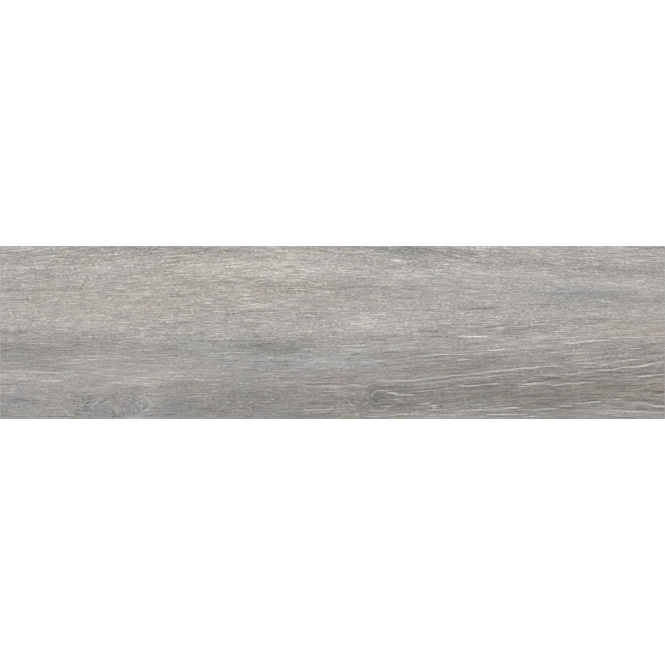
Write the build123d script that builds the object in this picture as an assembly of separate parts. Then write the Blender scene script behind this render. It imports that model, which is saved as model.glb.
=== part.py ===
"""Wood-look porcelain floor tile: one dry-pressed, fired and squared plank, lying face up.

Frame: the origin is the centre of the back, in the plane of the keying ribs. +X runs along the
grain, +Y across it, and +Z points out of the printed face. Millimetres.
"""

import os

from build123d import *

# The plank, as fired and ground square.
plank_length = 600.0
plank_width = 156.0
plank_thickness = 9.0  # over the ribs of the back
face_bevel = 0.6  # ground round the face, so that the arris doesn't chip

# The keying pressed into the back: shallow cells between ribs, inside a plain rim.
rim_width = 9.0
rib_width = 3.0
cell_pitch = 24.0  # about what a cell and its rib take up
cell_depth = 0.8
cell_corner = 3.0  # cut across each corner of a cell
cell_draft = 40.0  # degrees that a cell's wall leans out, for the press to let go


def fit_cells(plank_side):
    """How many cells fit along one side of the plank, and how long each one is at its mouth."""
    keyed_side = plank_side - 2 * rim_width
    pairs = max(1, round((keyed_side + rib_width) / (2 * cell_pitch)))
    count = 2 * pairs  # even, so that two ribs cross at the middle of the back
    return count, (keyed_side + rib_width) / count - rib_width


def make_blank():
    """The plain plank, with its bevelled face."""
    on_its_back = (Align.CENTER, Align.CENTER, Align.MIN)
    blank = Box(plank_length, plank_width, plank_thickness, align=on_its_back)
    face = blank.faces().sort_by(Axis.Z)[-1]
    return chamfer(face.edges(), face_bevel)


def make_keying():
    """Every cell of the back, as the raised die presses them in."""
    count_along, cell_length = fit_cells(plank_length)
    count_across, cell_width = fit_cells(plank_width)
    step_along = cell_length + rib_width
    step_across = cell_width + rib_width
    mouth = chamfer(Rectangle(cell_length, cell_width).vertices(), cell_corner)
    stud = extrude(mouth, cell_depth, taper=cell_draft)
    places = GridLocations(step_along, step_across, count_along, count_across)
    return [place * stud for place in places]


tile = make_blank() - make_keying()

os.makedirs("parts", exist_ok=True)
export_step(tile, "parts/tile.step")
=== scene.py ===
"""A wood-look porcelain floor tile, lying face up and seen from straight above."""

import math
from collections import namedtuple

import bmesh
import bpy
import numpy as np
from mathutils import Matrix, Vector, noise


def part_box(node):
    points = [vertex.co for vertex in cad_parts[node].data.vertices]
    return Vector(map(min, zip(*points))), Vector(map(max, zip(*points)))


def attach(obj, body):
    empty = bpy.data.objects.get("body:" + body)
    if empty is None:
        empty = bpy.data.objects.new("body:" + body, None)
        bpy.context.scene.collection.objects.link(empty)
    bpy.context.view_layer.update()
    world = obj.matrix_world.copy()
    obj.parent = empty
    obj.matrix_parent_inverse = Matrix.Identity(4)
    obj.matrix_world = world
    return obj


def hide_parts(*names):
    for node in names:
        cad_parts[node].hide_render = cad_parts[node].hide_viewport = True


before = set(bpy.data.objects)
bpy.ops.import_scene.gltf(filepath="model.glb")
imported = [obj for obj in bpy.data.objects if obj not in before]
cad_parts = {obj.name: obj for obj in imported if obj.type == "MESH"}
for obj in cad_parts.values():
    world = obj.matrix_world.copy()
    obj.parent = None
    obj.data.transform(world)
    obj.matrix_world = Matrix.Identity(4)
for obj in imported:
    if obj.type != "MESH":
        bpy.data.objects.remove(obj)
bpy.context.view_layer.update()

# The plank is one piece of porcelain: clay pressed dry between steel dies, fired hard and ground
# square. Its walls, and its back with the ribs that key it to the adhesive, are those of the solid.
# Over them goes a finer face, with the bevel that is ground round it.
MM = 0.001
weld = 0.01 * MM
cells_along = 220
cells_across = 400  # the grain is far finer across the plank than along it

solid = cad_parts["tile"]
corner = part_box("tile")[1]
shoulder = max(spot.co.z for spot in solid.data.vertices if spot.co.z < corner.z - weld)
bevel = corner.z - shoulder
face_corner = corner - Vector((bevel, bevel, 0))

plank = bmesh.new()
plank.from_mesh(solid.data)
fibre_mark = plank.verts.layers.float.new("fibre")
ground_and_bevel_shade_mark = plank.verts.layers.float.new("ground")
tint_mark = plank.verts.layers.float.new("tint")
vein_mark = plank.verts.layers.float.new("veins")
blush_mark = plank.verts.layers.float.new("blush")
finish_map = plank.loops.layers.uv.new("OFBake")
bmesh.ops.remove_doubles(plank, verts=plank.verts, dist=weld)
plain_face = [face for face in plank.faces if face.calc_center_median().z > shoulder + weld]
bmesh.ops.delete(plank, geom=plain_face, context="FACES")
for edge in [edge for edge in plank.edges if edge.is_boundary]:
    is_long = abs(edge.verts[0].co.x - edge.verts[1].co.x) > weld
    cuts = (cells_along if is_long else cells_across) - 1
    bmesh.ops.subdivide_edges(plank, edges=[edge], cuts=cuts)

spread = Matrix.Diagonal((face_corner.x, face_corner.y, 1, 1))
lift = Matrix.Translation((0, 0, corner.z))
fine = bmesh.ops.create_grid(
    plank, x_segments=cells_along, y_segments=cells_across, size=1, matrix=lift @ spread
)
face_spots = fine["verts"]
face_cells = list({cell for spot in face_spots for cell in spot.link_faces})
face_rim = list({edge for spot in face_spots for edge in spot.link_edges if edge.is_boundary})
skirt = bmesh.ops.extrude_edge_only(plank, edges=face_rim)
skirt_spots = [item for item in skirt["geom"] if isinstance(item, bmesh.types.BMVert)]
flare = (corner.x / face_corner.x, corner.y / face_corner.y, 1)
bmesh.ops.scale(plank, vec=flare, verts=skirt_spots)
bmesh.ops.translate(plank, vec=(0, 0, -bevel), verts=skirt_spots)

# The grain is that of washed oak: an arch in the upper half, a fan of fibres that rises to the right
# in the lower half, and three knots near the lower edge. The press and the printer share its lines.
# Places and sizes are in millimetres from the middle of the face.
Knot = namedtuple("Knot", "along across length width push tone warmth")
knots = (
    Knot(along=-192, across=-71, length=21, width=10, push=6.0, tone=-3, warmth=-3),
    Knot(along=42, across=-60, length=10, width=7.6, push=3.5, tone=-8, warmth=-2),
    Knot(along=-69, across=-59.5, length=14, width=4.2, push=1.5, tone=-3, warmth=-2),
)
knot_pull = 1.4
crest = -43
crest_round = 25
arch_slope = 0.115
arch_end = 215
arch_end_round = 60
fan_slope = 0.087
fan_start = -60
fan_round = 110
turn_line = 27
turn_width = 10
corner_slope = 0.17
corner_start = 235
corner_round = 30
corner_line = -55
corner_width = 5


def soft_step(distance):
    """0 well below, 1 well above, and a half at zero."""
    return 1 / (1 + math.e ** -distance)


def soft_ramp(distance, bend):
    """Level below zero and rising one for one above it, rounded over the bend."""
    return (distance + (distance * distance + bend * bend) ** 0.5) / 2


def grain_line(along, across):
    """Where the fibre through this spot would lie across the plank, had it grown straight."""
    from_crest = along - crest
    arch = soft_ramp(along - arch_end, arch_end_round) - (from_crest * from_crest + crest_round**2) ** 0.5
    fan = soft_ramp(along - fan_start, fan_round)
    arched = soft_step((across - turn_line) / turn_width)
    line = across - arch * arched * arch_slope - fan * (1 - arched) * fan_slope
    dip = soft_ramp(along - corner_start, corner_round) * soft_step((corner_line - across) / corner_width)
    line = line + dip * corner_slope
    for knot in knots:
        away_along = (along - knot.along) / knot.length / knot_pull
        away_across = (across - knot.across) / knot.width / knot_pull
        away = away_along * away_along + away_across * away_across / 2
        line = line - away_across * math.e**-away * knot.push
    return line


def fibre_line(along, across):
    """The same line, with the sway and quiver of real fibres."""
    sway = noise.noise(Vector((along / 80, across / 20, 3)))
    quiver = noise.noise(Vector((along / 22, across / 7, 5)))
    return grain_line(along, across) + 1.2 * sway + 0.35 * quiver


# The face's relief is brushed and limed wood, pressed in by the upper die: long shallow waves and open
# pores along the fibres, at most a fifth of a millimetre deep. Each spot also keeps the line of its
# fibre, which the print follows.
wave_depth = 0.08
pore_depth = 0.12
relief_margin = 2.0


def relief(along, across, line):
    """How deep the die presses the face at this spot, in millimetres."""
    wave = 0.5 + 0.5 * noise.noise(Vector((along / 70, line / 4.5, 11)))
    pore = max(0, noise.noise(Vector((along / 16, line / 1.3, 29))))
    to_edge = min(face_corner.x / MM - abs(along), face_corner.y / MM - abs(across))
    return (wave * wave_depth + pore * pore_depth) * min(1, to_edge / relief_margin)


# Broad tones of the wood, as bands that run along its fibres from one end to the other.
Band = namedtuple("Band", "along_from across_from along_to across_to width tone warmth")
bands = (
    Band(-310, 71, -235, 71, 4, -8, -1),
    Band(-215, 76, -75, 74, 3.5, -9, 0),
    Band(-62, 74, -22, 72, 8, 9, 0),
    Band(-245, 58, -170, 58, 4, 8, 0),
    Band(-150, 55, -105, 58, 5, 7, 0),
    Band(-110, 58, 12, 57, 7, 12, 0),
    Band(-272, 50, -240, 50, 4.5, -7, 0),
    Band(-310, 38, -245, 39, 2.5, -8, 0),
    Band(-255, 38, -205, 40, 2, -5, 0),
    Band(-300, 29, -265, 30, 3, -6, 0),
    Band(-95, 44, -40, 42, 3, -8, 0),
    Band(-45, 41, 75, 40, 3, -9, 0),
    Band(-150, 34, -105, 34, 2, -6, 0),
    Band(-92, 35, -72, 35, 3, 6, 0),
    Band(-80, 24, -45, 24, 2.5, 7, 0),
    Band(-103, 17, -70, 18, 2, -8, 0),
    Band(-168, 22, -135, 20, 4, -4, 0),
    Band(-142, 9, -108, 9, 4, -5, 0),
    Band(-250, 24, -130, 24, 14, 3, 0),
    Band(-330, 0, -270, 0, 3, -11, -1),
    Band(-275, -5, -190, -4, 5.5, -7, -1),
    Band(-330, -14, -265, -14, 6, -12, -2),
    Band(-270, -12, -200, -12, 6, -5, -1),
    Band(-240, -23, -185, -22, 2.5, 7, 0),
    Band(-330, -31, -235, -31, 2, -7, -1),
    Band(-330, -38, -215, -38, 5, 5, 1),
    Band(-210, -45, -140, -38, 6, 11, 1),
    Band(-150, -42, -115, -42, 5, 5, 0),
    Band(-156, -13, -118, -13, 4.5, -10, -3),
    Band(-90, -11, -18, -11, 6, -14, -3),
    Band(-112, -20, -85, -20, 3, 4, 0),
    Band(-130, -27, 70, -24, 10, 0, -5),
    Band(-12, -28, 12, -28, 4, 7, 0),
    Band(-330, -51, -278, -51, 2.5, 8, 0),
    Band(-265, -48, -235, -48, 5, 5, 0),
    Band(-175, -55, -158, -55, 7, 6, 0),
    Band(-95, -55, -55, -55, 5, -6, 0),
    Band(-155, -71, -130, -71, 6, -7, -1),
    Band(-300, -62, -270, -62, 4, -7, -2),
    Band(-230, -67, -212, -67, 6, -5, -2),
    Band(-25, -65, 2, -64, 3, -6, 0),
    Band(-60, -74, 10, -74, 3, -6, 0),
    Band(-18, -49, 25, -48, 2.5, 7, 0),
    Band(25, 78, 80, 74, 4.5, -13, -2),
    Band(60, 73.5, 125, 69.5, 4.5, -12, -1),
    Band(225, 78, 265, 78, 3, 9, 0),
    Band(18, 53, 75, 52, 5, 8, 0),
    Band(105, 58, 158, 51, 4, 10, 0),
    Band(150, 50, 205, 48, 3, 6, 0),
    Band(165, 64, 205, 63, 3, -6, -1),
    Band(205, 60, 300, 54, 4, -11, -2),
    Band(245, 44, 295, 42, 4, 11, 1),
    Band(195, 46, 250, 46, 3, 5, 0),
    Band(185, 35, 275, 31.5, 7, -12, -1.5),
    Band(255, 29, 330, 27, 5, -11, -3),
    Band(85, 20, 160, 22, 2, -9, 0),
    Band(48, 31, 78, 31, 4, -6, 0),
    Band(2, 8, 48, 8, 7, 11, 0),
    Band(40, 8, 90, 8, 5, 6, 0),
    Band(78, 0, 112, 1, 4, -9, 0),
    Band(120, 6, 205, 5, 5, -9, 0),
    Band(150, 1, 182, 2, 3, -5, 0),
    Band(212, 11, 265, 12, 4, -9, 0),
    Band(275, 13, 330, 14, 2.5, -8, 0),
    Band(112, -4, 148, -4, 2.5, 7, 0),
    Band(5, -13, 28, -13, 4, 8, 0),
    Band(25, -12, 95, -12, 5, 5, 0),
    Band(125, -16, 178, -13, 4, 8, 0),
    Band(202, -9, 245, -8, 2.5, 7, 0),
    Band(250, -11, 330, -10, 3, -9, 0),
    Band(58, -33, 118, -33, 3.5, -8, 0),
    Band(128, -24, 162, -24, 4, -5, 0),
    Band(28, -23, 48, -23, 4, 6, 0),
    Band(150, -43, 205, -41, 3, -6, 0),
    Band(35, -50, 80, -49, 3, -8, 0),
    Band(-5, -60, 48, -60, 5, -8, 0),
    Band(100, -58, 195, -61, 6, -6, 1),
    Band(55, -77, 330, -66, 7, 11, 0),
    Band(-220, 40, 25, 40, 36, 0, 2.5),
    Band(225, 5, 330, 0, 10, 0, 2.5),
    Band(140, -57, 330, -52, 7, 0, 3),
    Band(165, 60, 240, 60, 4, 0, -2),
    Band(-245, -68, -85, -68, 9, 0, -4),
    Band(-330, -68, -250, -68, 7, 0, -2.5),
    Band(-330, -24, -260, -24, 8, 0, -2),
    Band(-85, -72, -30, -72, 5, 0, -2),
    Band(160, 38, 330, 32, 9, 0, -3),
    Band(120, 74, 310, 72, 6, 3, 0),
    Band(-80, 60, 150, 58, 6, 3, 0),
    Band(-90, 47, 0, 47, 5, 4, 0),
    Band(55, 48, 150, 48, 6, 4, 0),
    Band(175, 25, 255, 24, 10, -5, 0),
    Band(-275, 9, -170, 9, 8, 3, 0),
    Band(185, 9, 255, 9, 5, -2, 0),
    Band(-320, -20, -235, -20, 10, -3, 0),
    Band(-45, -28, -8, -28, 6, 5, 0),
    Band(-225, -29, -80, -29, 6, 2, 0),
    Band(90, -55, 260, -53, 8, -6, 0),
    Band(-140, -58, -40, -58, 8, -4, 0),
    Band(155, -66, 215, -64, 6, -5, 0),
    Band(255, -68, 310, -68, 5, 4, 0),
    Band(-145, -67, -10, -67, 7, -3, 0),
    Band(-320, 22, -130, 22, 26, 0, 1.5),
    Band(150, 38, 260, 36, 14, 0, -1.5),
    Band(250, -22, 320, -22, 35, 0, 1.5),
    Band(-330, -54, -265, -54, 14, 0, -2),
    Band(-310, 74, -268, 73, 2.5, 5, 0),
    Band(-245, 67, -200, 68, 2.5, -7, 0),
    Band(-235, 62, -210, 62, 2, -4, 0),
    Band(-180, 74, -155, 71, 3, -8, 0),
    Band(-195, 64, -175, 63, 2.5, 6, 0),
    Band(-305, 57, -268, 58, 3, 6, 0),
    Band(-285, 50, -260, 50, 2, 4, 0),
    Band(-150, 61, -80, 67, 2.5, 5, 0),
    Band(-70, 53, -42, 53, 3, 11, 0),
    Band(-38, 57, 5, 56, 4, 7, 0),
    Band(-100, 54, -60, 54, 2, 4, 0),
    Band(-80, 67, -40, 66, 2, -7, 0),
    Band(-35, 66, 0, 66, 2, -6, 0),
    Band(-88, 38.5, -68, 38.5, 2.5, 10, 0),
    Band(-60, 38, -25, 37, 2.5, -6, 0),
    Band(-45, 46, -25, 45, 2, 4, 0),
    Band(-190, 27, -145, 26.5, 1.8, -8, 0),
    Band(-152, 33.5, -120, 35, 1.5, -6, 0),
    Band(-195, 34, -105, 39, 2.5, 4, 0),
    Band(-148, 45, -115, 45, 3, -5, 0),
    Band(-172, 50, -148, 48, 4, 4, 0),
    Band(-202, 13, -178, 14, 2, -5, 0),
    Band(-265, 10, -240, 10, 2.5, 5, 0),
    Band(-300, 17, -272, 17, 3, 3, 0),
    Band(-85, 22, -58, 22, 2, 4, 0),
    Band(-52, 15, -30, 15, 2.5, 4, 0),
    Band(-30, 17, 0, 16, 3, -5, 0),
    Band(-152, 8, -120, 8, 2, -4, 0),
    Band(-108, 7, -88, 7, 2, 4, 0),
    Band(-310, 2, -265, 0, 2, -6, 0),
    Band(0, 77.5, 30, 77, 2, -10, 0),
    Band(62, 77, 102, 75, 2.5, -11, -2),
    Band(112, 77, 188, 78, 2.6, 13, 0),
    Band(105, 74, 160, 69, 1.8, -7, 0),
    Band(60, 63, 88, 61, 2.5, -7, 0),
    Band(50, 54, 102, 54, 5, 7, 0),
    Band(165, 53, 205, 52, 3, 9, 0),
    Band(108, 43, 145, 43, 2.2, 9, 0),
    Band(220, 57, 248, 57, 2.5, 8, 0),
    Band(200, 66, 255, 62, 2, -5, 0),
    Band(255, 66, 310, 65, 2.5, 5, 0),
    Band(262, 47, 300, 46, 3, 6, 0),
    Band(275, 38, 315, 38, 2.5, 9, 0),
    Band(205, 36.5, 250, 35.5, 2.2, -12, 0),
    Band(115, 22, 150, 22, 3, -8, 0),
    Band(175, 26, 210, 25, 2.5, -6, 0),
    Band(240, 25, 270, 23, 3, -8, 0),
    Band(245, 19, 275, 16, 2.5, 6, 0),
    Band(22, 16, 52, 16, 3.5, 8, 0),
    Band(-10, 1, 40, 1, 2.5, 6, 0),
    Band(175, 9, 210, 10, 1.5, -5, 0),
    Band(-270, -10, -240, -9.5, 2, 9, 0),
    Band(-320, -23, -245, -27.5, 2, -9, 0),
    Band(-262, -15, -238, -16, 3, -5, 0),
    Band(-245, -27, -212, -27, 2.2, 8, 0),
    Band(-150, -13, -115, -13, 2.5, 7, 0),
    Band(-122, -10, -98, -8, 3, -5, 0),
    Band(-152, -26, -120, -26, 2, 7, 0),
    Band(-65, -16, -35, -17, 3, -5, 0),
    Band(-48, -28, -22, -28, 1.6, -8, 0),
    Band(-30, -24, 10, -23, 2, 5, 0),
    Band(-25, -31, 5, -30, 2, 5, 0),
    Band(-205, -34, -165, -35, 2.5, 6, 0),
    Band(-262, -32, -235, -32, 1.8, -6, 0),
    Band(-275, -44, -245, -43.5, 2.5, 6, 0),
    Band(-240, -50.5, -198, -51, 2.2, 8, 0),
    Band(-185, -46, -158, -46, 3, 7, 0),
    Band(-145, -46, -122, -46, 2, -10, 0),
    Band(-125, -36, -95, -37, 3, 6, 0),
    Band(-238, -60, -212, -60, 2, -7, 0),
    Band(-158, -63, -120, -63, 2.5, -6, 0),
    Band(-128, -56, -100, -59, 3, 5, 0),
    Band(-125, -69, -90, -71, 3, -7, 0),
    Band(-272, -64, -255, -64, 3, -5, 0),
    Band(-320, -72, -290, -72, 4, -7, 0),
    Band(-202, -77, -150, -77.5, 2, 11, 0),
    Band(-28, -70.5, 0, -70.5, 2.5, 6, 0),
    Band(-28, -5, 2, -4, 1.6, -6, 0),
    Band(0, -17, 50, -16, 2.5, 7, 0),
    Band(0, -29, 40, -26, 3, 7, 0),
    Band(2, -40, 32, -40, 1.8, -8, 0),
    Band(45, -44, 80, -42.5, 1.8, 8, 0),
    Band(100, -39.5, 125, -37, 1.5, -7, 0),
    Band(85, -11, 125, -11, 2.5, 6, 0),
    Band(140, -9, 200, -13, 3, 7, 0),
    Band(172, -6, 200, -4, 2.5, 6, 0),
    Band(145, -2, 178, -2, 2.5, -9, 0),
    Band(28, -5, 55, -4, 2, -7, 0),
    Band(50, -2, 90, -1, 1.5, -6, 0),
    Band(245, -18, 300, -17, 2, -8, 0),
    Band(118, -31.5, 145, -30, 2, -7, 0),
    Band(155, -35, 195, -31.5, 2, 4, 0),
    Band(212, -25, 240, -24, 2, 6, 0),
    Band(242, -28.5, 270, -26.5, 2, 5, 0),
    Band(195, -39.5, 250, -40, 1.8, -7, 0),
    Band(178, -47.5, 228, -46, 2, 5, 0),
    Band(272, -45, 310, -44, 2.5, 7, 0),
    Band(118, -48, 150, -45, 1.8, -5, 0),
    Band(0, -57, 45, -55, 2, 6, 0),
    Band(15, -51.5, 45, -51, 1.8, -6, 0),
    Band(50, -67, 78, -67, 4, -6, 0),
    Band(165, -66, 212, -64, 4, -9, 0),
    Band(190, -61, 260, -61, 4, -7, 0),
    Band(270, -67, 312, -67.5, 2, -9, 0),
    Band(200, -76, 320, -74.5, 3.5, 12, 0),
    Band(90, -77.5, 175, -77.5, 2, 12, 0),
    Band(105, -56, 155, -58, 3, 4, 0),
    Band(0, -60, 110, -57, 7, -3, 0),
    Band(280, -48, 312, -45, 9, -4, 0),
    Band(185, 26, 225, 28, 9, -4, 0),
    Band(125, 22, 150, 22, 5, -3, 0),
    Band(-5, 38, 45, 36, 8, -3, 0),
    Band(-10, 74, 25, 74, 4, -3, 0),
    Band(-172, 46, -140, 48, 6, 3, 0),
    Band(60, 22, 85, 22, 5, 3, 0),
    Band(-38, -28, -12, -28, 6, 3, 0),
    Band(225, -30, 280, -27, 5, 3, 0),
    Band(250, -55, 285, -53, 5, -3, 0),
    Band(190, 36, 250, 34, 14, 0, -2),
    Band(118, -66, 155, -65, 7, 0, -3),
    Band(-5, -48, 25, -48, 9, 0, 2),
    Band(-240, -12, -190, -10, 10, 0, 1.5),
    Band(20, -70, 40, -69, 4, -5, 0),
    Band(-186, -77, -172, -77, 2, 8, 0),
    Band(-233, -71, -223, -71, 4, -4, 0),
    Band(-170, -65, -155, -64, 5, 4, 0),
    Band(-202, -66, -187, -66, 5, 0, 4),
    Band(130, 68, 165, 61, 3, -6, 0),
    Band(-32, 62.5, -2, 61, 2, -6, 0),
    Band(-36, 54.5, -12, 54, 2.5, 4, 0),
    Band(25, 50, 58, 50, 2.5, -5, 0),
    Band(42, 58, 65, 57, 2.5, -4, 0),
    Band(75, 55, 118, 51, 4, 0, -3),
    Band(-58, 50, -42, 50, 2, 5, 0),
    Band(-266, -55, -242, -62, 6, 3, 0),
    Band(-300, 73, -276, 73, 5, 2.5, 0),
    Band(-200, 10, -176, 10, 8, 2, 0),
    Band(60, 60, 86, 60, 4, -2.5, 0),
    Band(-70, 68, -46, 64, 8, -2.5, 0),
    Band(222, 9, 280, 9, 6, -2.5, 0),
    Band(190, -15, 216, -15, 5, -2.5, 0),
    Band(-38, -66, -14, -66, 5, -2.5, 0),
    Band(240, -76, 300, -76, 3, 7, 0),
    Band(80, -76, 122, -76, 2.5, 4, 0),
    Band(165, -76, 235, -76, 2.5, 3, 0),
    Band(250, 5, 274, 5, 3, -6, 0),
    Band(250, 35, 272, 35, 3, -4, 0),
    Band(-272, 75, -248, 75, 3, 5, 0),
    Band(-272, 55, -250, 55, 3, -5, 0),
    Band(-240, 45, -195, 45, 3, 4, 0),
    Band(-302, 45, -278, 45, 3, -4, 0),
    Band(222, -45, 244, -45, 2.5, -4, 0),
    Band(80, -45, 155, -45, 2.5, -2.5, 0),
    Band(248, -65, 274, -65, 2.5, -3.5, 0),
    Band(-40, 75, -18, 75, 3, -5, 0),
    Band(205, 45, 258, 43, 5, 0, -3),
    Band(170, 24, 285, 24, 4, -1.5, -2),
    Band(284, 24, 306, 21, 3, -6, 0),
    Band(218, 44.5, 250, 43, 3, 4, 0),
    Band(252, 38, 274, 37, 2.5, -3, 0),
)

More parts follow.
